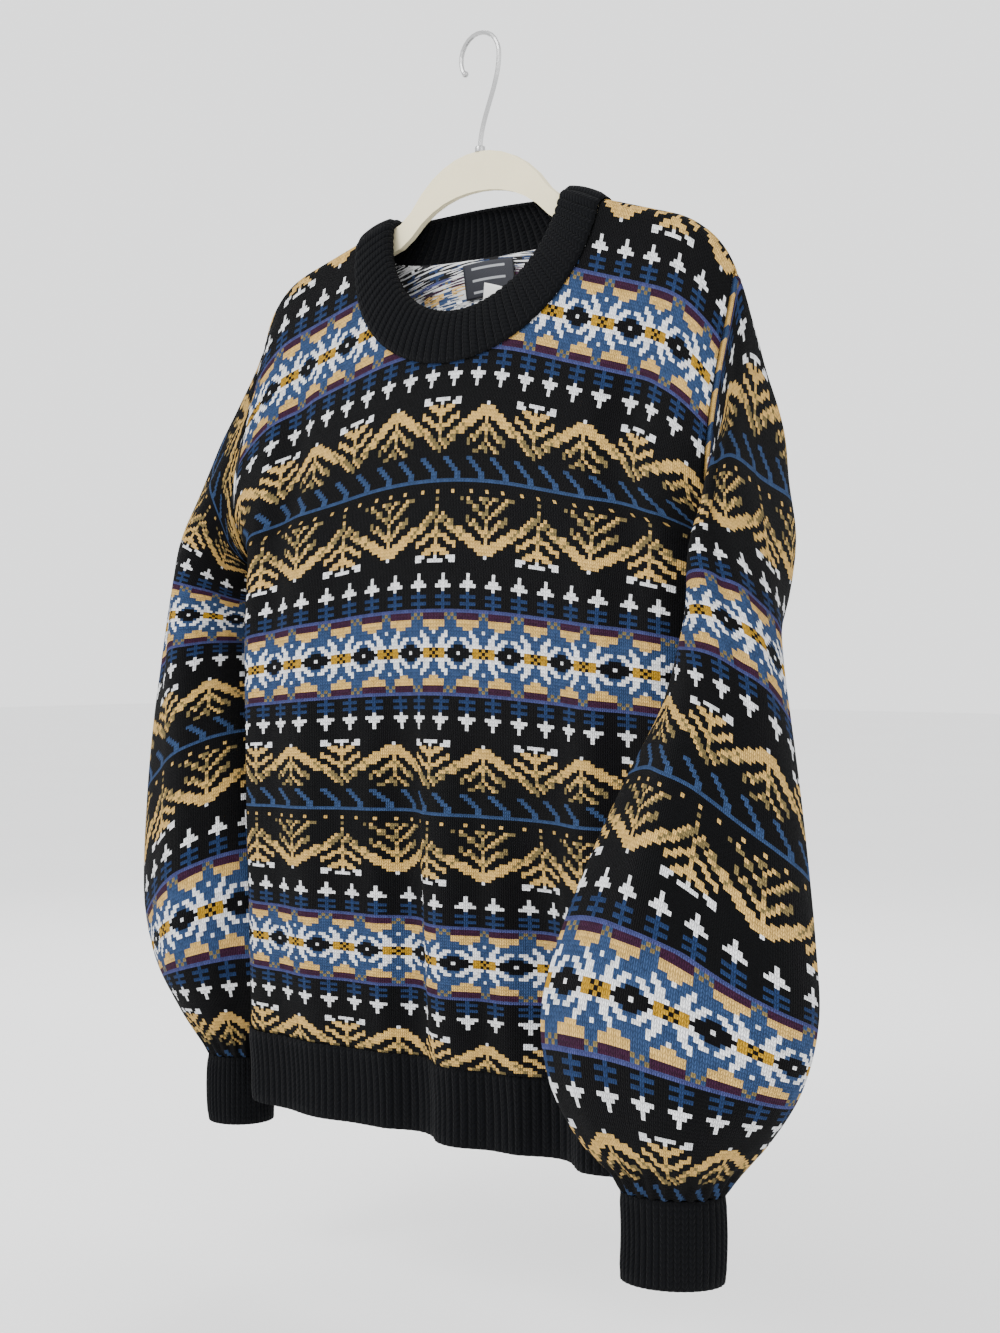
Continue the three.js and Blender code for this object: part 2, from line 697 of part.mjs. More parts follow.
// The hook's wire: up from the hanger, and round over the rail to an open tip
class HookPath extends THREE.Curve {
  getPoint(share, target = new THREE.Vector3()) {
    const stem = HUMP_TOP + SEAM;
    const centre = -HOOK_RADIUS + WIRE_RADIUS;
    const middle = HOOK_RADIUS;
    const straight = centre - stem;
    const whole = straight + HOOK_SWEEP * middle;
    const along = share * whole;
    if (along < straight) {
      const lean = Math.sin((Math.PI / 2) * (along / straight)) ** 2;
      return target.set(middle * lean, 0, stem + along);
    }
    const angle = (along - straight) / middle;
    return target.set(middle * Math.cos(angle), 0, centre + middle * Math.sin(angle));
  }
}

function hookGeometry() {
  const wire = new THREE.Shape().absarc(0, 0, WIRE_RADIUS, 0, 2 * Math.PI);
  return new THREE.ExtrudeGeometry(wire, {
    steps: 30,
    curveSegments: HOOK_SIDES / 2,
    bevelEnabled: false,
    extrudePath: new HookPath(),
  });
}

// Finishes
const knit = new THREE.MeshStandardMaterial({ color: 0x1c2433, roughness: 0.95, metalness: 0 });
const rib = new THREE.MeshStandardMaterial({ color: 0x0d0e11, roughness: 0.95, metalness: 0 });
const ivory = new THREE.MeshStandardMaterial({ color: 0xe9e6d3, roughness: 0.8, metalness: 0 });
const steel = new THREE.MeshStandardMaterial({ color: 0xc9ccd0, roughness: 0.25, metalness: 1 });
const tape = new THREE.MeshStandardMaterial({ color: 0x20242e, roughness: 0.7, metalness: 0 });
const paper = new THREE.MeshStandardMaterial({ color: 0xd9dad8, roughness: 0.75, metalness: 0 });

function addPiece(group, name, geometry, material) {
  const mesh = new THREE.Mesh(geometry, material);
  mesh.name = name;
  group.add(mesh);
}

const frontFaces = panelFaces(FRONT, FRONT_NECK);
const backFaces = panelFaces(BACK, BACK_NECK);
const lastColumn = frontFaces[0].length - 1;
const leftSleeve = sleeveFaces(armholeEdge(frontFaces, backFaces, lastColumn), LEFT_SLEEVE, 1);
const rightSleeve = sleeveFaces(armholeEdge(frontFaces, backFaces, 0), RIGHT_SLEEVE, -1);

const group = new THREE.Group();
for (const [name, faces] of [['front_panel', frontFaces], ['back_panel', backFaces]]) {
  addPiece(group, name, wallGeometry(faceGrid(faces, 'outer'), faceGrid(faces, 'inner'), false), knit);
}
addPiece(group, 'sleeve_left', sleeveGeometry(leftSleeve), knit);
addPiece(group, 'sleeve_right', sleeveGeometry(rightSleeve), knit);
addPiece(group, 'neckband', neckbandGeometry(frontFaces, backFaces), rib);
addPiece(group, 'hem_rib', hemGeometry(frontFaces, backFaces), rib);
addPiece(group, 'cuff_left', cuffGeometry(leftSleeve), rib);
addPiece(group, 'cuff_right', cuffGeometry(rightSleeve), rib);
addPiece(group, 'neck_label', plateGeometry(LABEL), tape);
addPiece(group, 'size_tag', plateGeometry(SIZE_TAG), paper);
addPiece(group, 'hanger', hangerGeometry(), ivory);
addPiece(group, 'hook', hookGeometry(), steel);

export default group;
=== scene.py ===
"""A fair isle jumper on a slim ivory hanger, dressed over its solids.

Every length in the tables is in millimetres and is turned to metres as the mesh is made. The
origin is where the hook rests on its rail, the jumper faces -Y, and the wearer's left is +X.
"""

import logging
import math
from dataclasses import dataclass
from enum import Enum
from typing import Optional, Sequence

import bpy
import numpy as np
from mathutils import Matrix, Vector


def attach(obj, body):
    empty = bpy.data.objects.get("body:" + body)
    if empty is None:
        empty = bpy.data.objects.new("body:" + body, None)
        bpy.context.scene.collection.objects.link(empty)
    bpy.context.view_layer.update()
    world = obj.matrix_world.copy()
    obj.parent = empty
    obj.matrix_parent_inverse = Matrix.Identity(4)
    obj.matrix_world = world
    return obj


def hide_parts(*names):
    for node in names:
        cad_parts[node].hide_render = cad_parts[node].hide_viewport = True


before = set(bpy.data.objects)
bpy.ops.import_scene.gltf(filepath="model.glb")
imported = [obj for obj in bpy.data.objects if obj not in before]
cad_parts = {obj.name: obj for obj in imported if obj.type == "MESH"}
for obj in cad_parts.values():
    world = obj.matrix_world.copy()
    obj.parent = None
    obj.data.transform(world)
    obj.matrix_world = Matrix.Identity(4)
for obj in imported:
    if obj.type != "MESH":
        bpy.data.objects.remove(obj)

log = logging.getLogger("jumper")

MM = 0.001
Grid = np.ndarray
Color = tuple[float, float, float]


class Side(Enum):
    """The two panels of the body, by the way they face."""

    FRONT = -1
    BACK = 1


# Form of the body


@dataclass(frozen=True)
class BodySize:
    """Sizes of the body as knitted and as it hangs."""

    wall: float = 3.0
    seam: float = 0.3
    neck_drop: float = 128.0
    half_width: float = 270.0
    armhole: float = 235.0
    length: float = 655.0
    rib_length: float = 62.0
    neck_half_width: float = 128.0
    front_neck: float = 138.0
    back_neck: float = 54.0
    neckband_width: float = 36.0
    shoulder_roll: float = 9.0
    side_roll: float = 45.0
    side_reach: float = 244.5
    level_from: float = 560.0
    level_drop: float = -50.0
    armhole_gape: float = 0.86


@dataclass(frozen=True)
class Fold:
    """A long soft fold down a panel: a ridge if height is positive, a trough if not."""

    across: float
    drift: float
    half: float
    height: float
    start: float
    end: float


# Slope of the shoulder, as bends along it: where each ends, and how much it turns
SHOULDER_BENDS = ((90.0, math.radians(17)), (195.0, 0.0), (300.0, math.radians(67)))

# Depth of the hanging body down the cloth: down, in front, behind
BODY_DEPTHS = (
    (14, 9, 9),
    (90, 28, 22),
    (180, 48, 38),
    (300, 57, 46),
    (480, 56, 46),
    (600, 52, 44),
    (720, 46, 40),
)

# The folds that the solids have
MAIN_FOLDS = {
    Side.FRONT: (
        Fold(-42, 14, 34, -15, 330, 760),
        Fold(12, 8, 36, 12, 360, 760),
        Fold(92, 26, 38, -16, 420, 770),
        Fold(160, -12, 34, 12, 250, 740),
        Fold(-150, 18, 42, 9, 200, 760),
        Fold(192, -10, 34, -8, 60, 330),
        Fold(-194, 12, 34, -8, 60, 340),
    ),
    Side.BACK: (
        Fold(-70, -12, 38, -14, 300, 760),
        Fold(50, 16, 40, -12, 380, 770),
        Fold(128, -10, 36, 11, 260, 750),
        Fold(-140, 14, 36, 10, 230, 740),
        Fold(192, -12, 34, -8, 60, 320),
        Fold(-192, 12, 34, -8, 60, 330),
    ),
}


def bell(value: Grid) -> Grid:
    """A smooth bump.

    Args:
        value: Distance from the middle, as a share of the half width.

    Returns:
        1 at the middle, falling to 0 at a distance of 1.
    """
    share = np.clip(np.abs(value), 0, 1)
    return (1 - share * share) ** 2


def ease(value: Grid) -> Grid:
    """A smooth step.

    Args:
        value: Where on the step, from 0 to 1.

    Returns:
        0 rising to 1 with level ends.
    """
    share = np.clip(value, 0, 1)
    return share * share * (3 - 2 * share)


def unit(vectors: Grid) -> Grid:
    """Vectors made one long.

    Args:
        vectors: Any array whose last axis is x, y, z.

    Returns:
        The same directions at unit length.
    """
    return vectors / np.maximum(np.linalg.norm(vectors, axis=-1, keepdims=True), 1e-9)


class BodyForm:
    """Where the cloth of the body hangs, from places measured on the flat cloth."""

    def __init__(self, size: BodySize) -> None:
        self.size = size

    def shoulder(self, across: Grid) -> tuple[Grid, Grid]:
        """The shoulder line.

        Args:
            across: Distance along the cloth from the middle.

        Returns:
            The place sideways and the drop below the middle.
        """
        start, slope = 0.0, 0.0
        x, z = np.zeros_like(across), np.zeros_like(across)
        for until, turn in SHOULDER_BENDS:
            length = np.clip(across - start, 0, until - start)
            curve = turn / (until - start)
            if curve > 0:
                end = slope + curve * length
                x = x + (np.sin(end) - math.sin(slope)) / curve
                z = z - (math.cos(slope) - np.cos(end)) / curve
            else:
                x = x + math.cos(slope) * length
                z = z - math.sin(slope) * length
            slope, start = slope + turn, until
        return x, z

    def depth(self, side: Side, down: Grid) -> Grid:
        """Depth of the body in front of or behind the hanger.

        Args:
            side: Which panel.
            down: Distance down the cloth.

        Returns:
            The depth at each place.
        """
        roll = self.size.shoulder_roll
        downs = [row[0] for row in BODY_DEPTHS]
        depths = [row[1 if side is Side.FRONT else 2] for row in BODY_DEPTHS]
        turned = roll * np.sin(np.clip(down / roll, 0, math.pi / 2))
        return np.where(down < roll * math.pi / 2, turned, np.interp(down, downs, depths))

    def folds(self, side: Side, across: Grid, down: Grid) -> Grid:
        """Height of the main folds.

        Args:
            side: Which panel.
            across: Places across the cloth.
            down: Places down the cloth.

        Returns:
            The height that the folds add at each place.
        """
        height = np.zeros_like(across)
        for fold in MAIN_FOLDS[side]:
            along = (down - fold.start) / (fold.end - fold.start)
            centre = fold.across + fold.drift * along
            lift = bell((across - centre) / fold.half) * np.sqrt(bell(2 * along - 1))
            height = height + fold.height * lift
        return height

    def middle(self, side: Side, across: Grid, down: Grid) -> Grid:
        """The middle of the cloth.

        Args:
            side: Which panel.
            across: Places across the cloth from its centre line.
            down: Places down the cloth from the shoulder line.

        Returns:
            Points in millimetres, one for each place.
        """
        s = self.size
        away = np.abs(across)
        top_x, top_z = self.shoulder(away)
        below = down / s.armhole
        open_share = np.sin(math.pi * np.clip(below, 0, 1)).clip(0, 1) ** 0.8
        gape = np.where(below < 1, s.armhole_gape * open_share, 0)
        sweep = (math.pi / 2) * (1 - gape)
        straight = s.half_width - s.side_roll * sweep
        turned = np.maximum(away - straight, 0) / s.side_roll
        reach = s.side_reach / (straight + s.side_roll * np.sin(sweep))
        hanging = (np.minimum(away, straight) + s.side_roll * np.sin(turned)) * reach
        weight = ease(below)
        x = np.sign(across) * (top_x * (1 - weight) + hanging * weight)
        deep = (self.depth(side, down) + self.folds(side, across, down)) * np.cos(turned)
        roll = s.shoulder_roll
        over = roll * (1 - np.cos(np.clip(down / roll, 0, math.pi / 2)))
        drop = over + np.maximum(down - roll * math.pi / 2, 0)
        level = ease(down / s.level_from)
        slope = top_z * (1 - level) + s.level_drop * level
        y = side.value * (s.seam / 2 + deep)
        return np.stack([x, y, slope - drop - s.neck_drop], axis=-1)

    def normal(self, side: Side, across: Grid, down: Grid) -> Grid:
        """Direction out of the cloth.

        Args:
            side: Which panel.
            across: Places across the cloth.
            down: Places down the cloth.

        Returns:
            Unit vectors, one for each place.
        """
        step = 0.4
        right = self.middle(side, across + step, down) - self.middle(side, across - step, down)
        upper = self.middle(side, across, np.maximum(down - step, 0))
        lower = self.middle(side, across, down + step)
        out = np.cross(right, lower - upper) * side.value
        edge = (down <= 0.01) | (
            (np.abs(across) > self.size.half_width - 0.01) & (down > self.size.armhole - 0.01)
        )
        out[..., 1] = np.where(edge, 0, out[..., 1])
        return unit(out)

    def neck_cut(self, side: Side, across: Grid) -> Grid:
        """How far down the neck is cut.

        Args:
            side: Which panel.
            across: Places across the cloth.

        Returns:
            The depth of the cut at each place, 0 outside the neck.
        """
        s = self.size
        deep = s.front_neck if side is Side.FRONT else s.back_neck
        return deep * np.sqrt(np.clip(1 - (across / s.neck_half_width) ** 2, 0, 1))


# Knitted pattern


class Yarn(Enum):
    """Yarns of the pattern, by the letter used in the charts."""

    BLACK = "K"
    DENIM = "D"
    DEEP_BLUE = "B"
    LINE = "L"
    WHITE = "W"
    TAN = "T"
    HEATHER = "H"
    GOLD = "G"
    PLUM = "P"


YARN_COLORS: dict[Yarn, Color] = {
    Yarn.BLACK: (0.0017, 0.0018, 0.0024),
    Yarn.DENIM: (0.030, 0.062, 0.148),
    Yarn.DEEP_BLUE: (0.014, 0.034, 0.10),
    Yarn.LINE: (0.05, 0.06, 0.18),
    Yarn.WHITE: (0.92, 0.93, 0.95),
    Yarn.TAN: (0.69, 0.43, 0.125),
    Yarn.HEATHER: (0.20, 0.15, 0.06),
    Yarn.GOLD: (0.46, 0.25, 0.015),
    Yarn.PLUM: (0.036, 0.009, 0.028),
}
YARN_ORDER = tuple(Yarn)


@dataclass(frozen=True)
class Motif:
    """A small shape knitted at several places in the repeat.

    rows are drawn from the star line outwards, and each goes from the motif's middle to one
    edge, the other half being its mirror image. A dot leaves the ground showing.
    """

    first_row: int
    centres: tuple[int, ...]
    rows: tuple[str, ...]


STAR = Motif(
    0,
    (0, 16),
    (
        "KGGGKKKKW",
        "GKGGWKKKK",
        ".WWWWW.KK",
        "..WW.WW..",
        "..WW..WW.",
        "...WW....",
        "W...W....",
    ),
)
SCALLOP = Motif(7, (0, 11, 21), ("TT...", "TTTT.", "TTTT.", "PPPP.", "PPPP."))
STEM = Motif(
    13,
    (3, 11, 19, 27),
    ("B..", "BBB", "B..", "BBB", "B..", "W..", "WWW", "WW.", "W..", "W.."),
)
MOTIFS = (STAR, SCALLOP, STEM)


@dataclass(frozen=True)
class Slant:
    """A line of stitches that slants away from a middle, alike on both sides."""

    start: float
    thick: float
    slope: float
    reach: float

    def covers(self, up: float, away: float) -> bool:
        """Whether a stitch is part of the line.

        Args:
            up: Rows above the foot of the tree.
            away: Stitches from the middle.

        Returns:
            True if it is.
        """
        above = up - self.start - self.slope * away
        return away <= self.reach and 0 <= above < self.thick


BRANCHES = (
    Slant(3.2, 2.0, -0.66, 6.5),
    Slant(7.4, 1.9, -0.66, 6.5),
    Slant(11.2, 3.2, -0.66, 16.0),
)
NESTED = (
    Slant(6.0, 2.0, 0.80, 6.5),
    Slant(10.4, 2.2, 0.80, 9.5),
    Slant(14.6, 2.0, 0.80, 4.5),
)
SHADE_STARTS = (2, 7, 10)
SHADES = ("WWWW", "TTTT", "THTT", "HTKH")
DOTS = (0, 5, 11, 16, 21, 27)


class FairIsleChart:
    """The repeat: 32 stitches across, and 48 rows from the star line to the vine line."""

    across = 32
    half_rows = 48
    tree_row = 26

    def __init__(self) -> None:
        self.above = self._half(above=True)
        self.below = self._half(above=False)

    def _half(self, above: bool) -> Grid:
        """One half of the repeat, from the star line to the vine line.

        Args:
            above: True for the half whose vine line is knitted under it.

        Returns:
            Yarn numbers, one row of the array for each row of stitches.
        """
        rows = np.full((self.half_rows + 1, self.across), YARN_ORDER.index(Yarn.BLACK))
        rows[0:10] = YARN_ORDER.index(Yarn.DENIM)
        columns = np.arange(self.across)
        for row in (10, 11):
            mottled = np.where((columns + row) % 2, Yarn.HEATHER.value, Yarn.DENIM.value)
            rows[row] = [YARN_ORDER.index(Yarn(letter)) for letter in mottled]
        rows[12] = YARN_ORDER.index(Yarn.LINE)
        for motif in MOTIFS:
            self._knit(rows, motif)
        self._trees(rows, 41 if above else 44)
        self._vine(rows, above)
        return rows

    def _knit(self, rows: Grid, motif: Motif) -> None:
        """Knits a motif into the rows.

        Args:
            rows: The half repeat, changed in place.
            motif: The shape and its places.
        """
        for centre in motif.centres:
            for k, picture in enumerate(motif.rows):
                for away, letter in enumerate(picture):
                    if letter != ".":
                        yarn = YARN_ORDER.index(Yarn(letter))
                        rows[motif.first_row + k, (centre + away) % self.across] = yarn
                        rows[motif.first_row + k, (centre - away) % self.across] = yarn

    def _trees(self, rows: Grid, top: int) -> None:
        """Knits the trees and the zigzag round them, thinning out to speckles at the top.

        Args:
            rows: The half repeat, changed in place.
            top: The last row that they reach.
        """
        for row in range(self.tree_row, top):
            up = row - self.tree_row
            for column in range(self.across):
                tree = min(column, self.across - column)
                valley = self.across // 2 - tree
                shown = any(line.covers(up, tree) for line in BRANCHES)
                shown = shown or any(line.covers(up, valley) for line in NESTED)
                shown = shown or tree == 0 or (up == 0 and tree < 3) or (valley == 0 and up > 3)
                if shown:
                    shades = SHADES[sum(up >= start for start in SHADE_STARTS)]
                    yarn = Yarn(shades[(column * 7 + row * 5) % 4])
                    rows[row, column] = YARN_ORDER.index(yarn)

    def _vine(self, rows: Grid, above: bool) -> None:
        """Knits the vine line with its slanted leaves, or the dots beyond it.

        Args:
            rows: The half repeat, changed in place.
            above: True for the half whose vine line is knitted under it.
        """
        columns = np.arange(self.across)
        rows[48] = YARN_ORDER.index(Yarn.DENIM)
        if above:
            for row in range(42, 48):
                lean = min(row, 46)
                leaf = ((columns - lean) % 8 == 0) | ((columns - lean) % 8 == 1)
                rows[row, leaf] = YARN_ORDER.index(Yarn.DENIM)
        else:
            rows[45, list(DOTS)] = YARN_ORDER.index(Yarn.TAN)

    def stitches(self, columns: Grid, rows: Grid) -> Grid:
        """The yarns at places in the knitting.

        Args:
            columns: Stitch numbers across, any whole numbers.
            rows: Row numbers down from a star line, any whole numbers.

        Returns:
            Yarn numbers for every row and column.
        """
        whole = self.half_rows * 2
        down = np.mod(rows, whole)
        away = np.minimum(down, whole - down).astype(int)
        across = np.mod(columns, self.across)
        above = (down < self.half_rows)[:, None]
        return np.where(above, self.above[away][:, across], self.below[away][:, across])


# Meshes


def hashed(columns: Grid, rows: Grid, salt: float) -> Grid:
    """Even scatter from 0 to 1 that is the same on each run.

    Args:
        columns: First number of each place.
        rows: Second number of each place.
        salt: Changes the scatter.

    Returns:
        One number for each place.
    """
    value = np.sin(columns * 12.9898 + rows * 78.233 + salt * 37.719) * 43758.5453
    return value - np.floor(value)


def catmull(points: Grid, places: Grid, closed: bool) -> Grid:
    """Points on a smooth curve through others.

    Args:
        points: The points gone through, along the first axis.
        places: Places wanted, counted in points.
        closed: Whether the last point is joined to the first.

    Returns:
        One point, or row of points, for each place.
    """
    count = len(points)
    base = np.floor(places).astype(int)
    if not closed:
        base = np.clip(base, 0, count - 2)
    t = (places - base).reshape((-1,) + (1,) * (points.ndim - 1))
    near = [base - 1, base, base + 1, base + 2]
    near = [n % count if closed else np.clip(n, 0, count - 1) for n in near]
    a, b, c, d = (points[n] for n in near)
    return 0.5 * (
        2 * b + (c - a) * t + (2 * a - 5 * b + 4 * c - d) * t**2 + (3 * b - a - 3 * c + d) * t**3
    )


def even_ring(points: Grid, count: int, start: float = 0.0) -> Grid:
    """A closed ring of points laid out evenly along its length.

    Args:
        points: The ring, in order.
        count: How many points are wanted.
        start: Place of the first one, counted in the old points.

    Returns:
        The new ring.
    """
    places = start + np.linspace(0, len(points), 1201)
    dense = catmull(points, places, closed=True)
    steps = np.linalg.norm(np.diff(dense, axis=0), axis=1)
    length = np.concatenate([[0], np.cumsum(steps)])
    wanted = length[-1] * np.arange(count) / count
    return np.stack([np.interp(wanted, length, dense[:, k]) for k in range(3)], axis=1)


def grid_normals(points: Grid, ring: bool) -> Grid:
    """Directions out of a grid of points.

    Args:
        points: Rows of points.
        ring: Whether the last column is joined to the first.

    Returns:
        Unit vectors, with rows going down and columns going to the right seen from outside.
    """
    if ring:
        right = np.roll(points, -1, axis=1) - np.roll(points, 1, axis=1)
    else:
        right = np.gradient(points, axis=1)
    return unit(np.cross(np.gradient(points, axis=0), right))


class ClothMesh:
    """A grid of stitches made into a mesh, with a colour and a place in the knitting for each."""

    def __init__(self, name: str, points: Grid, ring: bool) -> None:
        self.name = name
        self.points = points
        self.ring = ring
        rows, columns = points.shape[:2]
        self.rows = rows - 1
        self.columns = columns if ring else columns - 1

    def build(
        self,
        colors: Optional[Grid] = None,
        keep: Optional[Grid] = None,
        pitch: tuple[float, float] = (1.0, 1.0),
    ) -> bpy.types.Object:
        """Makes the object.

        Args:
            colors: One colour for each stitch, or None for a single yarn.
            keep: True for each stitch that is knitted, or None for all.
            pitch: Stitches across and down for each quad of the grid.

        Returns:
            The new object, at the origin.
        """
        rows, columns = self.points.shape[:2]
        row, column = np.mgrid[0 : self.rows, 0 : self.columns]
        after = (column + 1) % columns
        corners = np.stack(
            [row * columns + column, (row + 1) * columns + column,
             (row + 1) * columns + after, row * columns + after], axis=-1
        )
        places = np.stack(
            [np.stack([column, column, column + 1, column + 1], axis=-1) * pitch[0],
             np.stack([row, row + 1, row + 1, row], axis=-1) * -pitch[1]], axis=-1
        )
        kept = np.ones(row.shape, bool) if keep is None else keep
        corners, places = corners[kept], places[kept]
        used, corners = np.unique(corners, return_inverse=True)
        corners = corners.reshape(-1, 4)
        mesh = bpy.data.meshes.new(self.name)
        mesh.from_pydata((self.points.reshape(-1, 3)[used] * MM).tolist(), [], corners.tolist())
        layer = mesh.uv_layers.new(name="stitches")
        layer.data.foreach_set("uv", places.reshape(-1).astype(np.float32))
        if colors is not None:
            shade = np.ones((len(corners), 4, 4), np.float32)
            shade[..., :3] = colors[kept][:, None, :]
            attribute = mesh.color_attributes.new("yarn", "FLOAT_COLOR", "CORNER")
            attribute.data.foreach_set("color", shade.reshape(-1))
        mesh.polygons.foreach_set("use_smooth", np.ones(len(corners), bool))
        mesh.update()
        made = bpy.data.objects.new(self.name, mesh)
        bpy.context.scene.collection.objects.link(made)
        return made


def thicken(piece: bpy.types.Object, thickness: float) -> None:
    """Gives a cloth piece its thickness, inwards, with its own inner side.

    Args:
        piece: The cloth.
        thickness: In millimetres.
    """
    solid = piece.modifiers.new("thickness", "SOLIDIFY")
    solid.thickness = thickness * MM
    solid.offset = -1
    solid.use_even_offset = False
    solid.material_offset = 1
    solid.material_offset_rim = 0


def wander(u: Grid, v: Grid, scale_u: float, scale_v: float, seed: float) -> Grid:
    """Slow uneven waves, for soft creases.

    Args:
        u: Places one way, in millimetres.
        v: Places the other way, in millimetres.
        scale_u: Length of the waves along u.
        scale_v: Length of the waves along v.
        seed: Changes the waves.

    Returns:
        Heights from about -1 to 1.
    """
    a, b = u / scale_u, v / scale_v
    return (
        0.5 * np.sin(a * 6.3 + 1.7 * np.sin(b * 2.9 + seed) + seed)
        + 0.3 * np.sin(a * 11.1 - b * 5.2 + 2.1 * seed)
        + 0.2 * np.sin(a * 4.1 + b * 9.7 + 0.6 * seed)
    )


# Finishes


class Nodes:
    """Shorthand for building a material's nodes."""

    def __init__(self, name: str) -> None:
        self.material = bpy.data.materials.new(name)
        self.material.use_nodes = True
        self.tree = self.material.node_tree
        self.surface = self.tree.nodes["Principled BSDF"]

    def node(self, kind: str, **values: object) -> bpy.types.Node:
        """Adds a node.

        Args:
            kind: The node's type.
            values: Properties to set on it.

        Returns:
            The node.
        """
        made = self.tree.nodes.new(kind)
        for key, value in values.items():
            setattr(made, key, value)
        return made

    def put(self, socket: bpy.types.NodeSocket, value: object) -> None:
        """Links a socket, or sets it to a constant.

        Args:
            socket: The input.
            value: Another socket, or a number or colour.
        """
        if isinstance(value, bpy.types.NodeSocket):
            self.tree.links.new(value, socket)
        else:
            socket.default_value = value

    def math(self, operation: str, *values: object) -> bpy.types.NodeSocket:
        """Adds a sum of numbers.

        Args:
            operation: The math node's operation.
            values: Its inputs.

        Returns:
            The result's socket.
        """
        made = self.node("ShaderNodeMath", operation=operation)
        for k, value in enumerate(values):
            self.put(made.inputs[k], value)
        return made.outputs[0]

    def noise(self, vector: object, scale: float, detail: float = 2.0) -> bpy.types.NodeSocket:
        """Adds noise.

        Args:
            vector: Socket of the places.
            scale: How fine it is.
            detail: How many finer layers it has.

        Returns:
            The noise's socket, from 0 to 1.
        """
        made = self.node("ShaderNodeTexNoise")
        self.put(made.inputs["Vector"], vector)
        self.put(made.inputs["Scale"], scale)
        self.put(made.inputs["Detail"], detail)
        return made.outputs["Fac"]

    def mix(self, share: object, first: object, second: object, blend: str = "MIX") -> bpy.types.NodeSocket:
        """Mixes two colours.

        Args:
            share: How much of the second.
            first: The first colour.
            second: The second colour.
            blend: How they are mixed.

        Returns:
            The mixed colour's socket.
        """
        made = self.node("ShaderNodeMix", data_type="RGBA", blend_type=blend)
        self.put(made.inputs["Factor"], share)
        self.put(made.inputs[6], first)
        self.put(made.inputs[7], second)
        return made.outputs[2]

    def bump(self, height: object, strength: float, distance: float) -> None:
        """Adds relief to the surface.

        Args:
            height: Socket of the height.
            strength: How strong it looks.
            distance: Real height in metres.
        """
        made = self.node("ShaderNodeBump")
        self.put(made.inputs["Height"], height)
        self.put(made.inputs["Strength"], strength)
        self.put(made.inputs["Distance"], distance)
        self.put(self.surface.inputs["Normal"], made.outputs["Normal"])


@dataclass(frozen=True)
class KnitFinish:
    """Wool knitted in plain stitch, with a coloured yarn for each stitch."""

    name: str
    roughness: float = 0.95
    relief: float = 1.0
    height: float = 0.0013
    sheen: float = 0.015
    plain: Optional[Color] = None

    def make(self) -> bpy.types.Material:
        """Makes the material.

        Returns:
            The material, with two slanting legs to each stitch, and painted shade that darkens its colour in
            the grooves between them.
        """
        n = Nodes(self.name)
        uv = n.node("ShaderNodeUVMap", uv_map="stitches").outputs["UV"]
        split = n.node("ShaderNodeSeparateXYZ")
        n.put(split.inputs[0], uv)
        across, down = split.outputs[0], split.outputs[1]
        leg = n.math("ABSOLUTE", n.math("SINE", n.math("MULTIPLY", across, 2 * math.pi)))
        slant = n.math("PINGPONG", across, 0.5)
        lifted = n.math("ADD", down, n.math("MULTIPLY", slant, 1.3))
        turn = n.math("ABSOLUTE", n.math("SINE", n.math("MULTIPLY", lifted, math.pi)))
        body = n.math("MULTIPLY", n.math("POWER", leg, 0.6), n.math("POWER", turn, 0.5))
        fuzz = n.noise(uv, 5.0, 3.0)
        height = n.math("ADD", body, n.math("MULTIPLY", fuzz, 0.35))
        n.bump(height, self.relief, self.height)
        if self.plain is None:
            color = n.node("ShaderNodeVertexColor", layer_name="yarn").outputs["Color"]
        else:
            color = (*self.plain, 1.0)
        # painted shade: the base colour is darkened where the stitch relief is low, in the grooves between the
        # legs, and mottled at random by the fuzz
        painted_groove_shade = n.math("ADD", n.math("MULTIPLY", body, 0.5), 0.56)
        shade = n.math("MULTIPLY", painted_groove_shade, n.math("ADD", n.math("MULTIPLY", fuzz, 0.5), 0.75))
        n.put(n.surface.inputs["Base Color"], n.mix(1.0, color, shade, "MULTIPLY"))
        n.put(n.surface.inputs["Roughness"], self.roughness)
        n.put(n.surface.inputs["Sheen Weight"], self.sheen)
        n.put(n.surface.inputs["Sheen Roughness"], 0.6)
        n.put(n.surface.inputs["Specular IOR Level"], 0.06)
        return n.material


@dataclass(frozen=True)
class FloatFinish:
    """The inside of the patterned knitting, where loose yarn runs across behind the stitches."""

    name: str
    dark: Color = (0.012, 0.013, 0.02)

    def make(self) -> bpy.types.Material:
        """Makes the material.

        Returns:
            The material, streaked across in the yarns of the stitches in front.
        """
        n = Nodes(self.name)
        uv = n.node("ShaderNodeUVMap", uv_map="stitches").outputs["UV"]
        stretch = n.node("ShaderNodeMapping")
        n.put(stretch.inputs["Vector"], uv)
        n.put(stretch.inputs["Scale"], (0.11, 2.0, 1.0))
        streak = n.noise(stretch.outputs[0], 1.0, 2.0)
        color = n.node("ShaderNodeVertexColor", layer_name="yarn").outputs["Color"]
        shown = n.math("GREATER_THAN", streak, 0.50)
        pale = n.math("GREATER_THAN", streak, 0.53)
        mixed = n.mix(shown, color, (*self.dark, 1.0))
        n.put(n.surface.inputs["Base Color"], n.mix(pale, mixed, (0.66, 0.66, 0.66, 1.0)))
        n.put(n.surface.inputs["Roughness"], 0.95)
        n.bump(streak, 0.8, 0.0012)
        return n.material


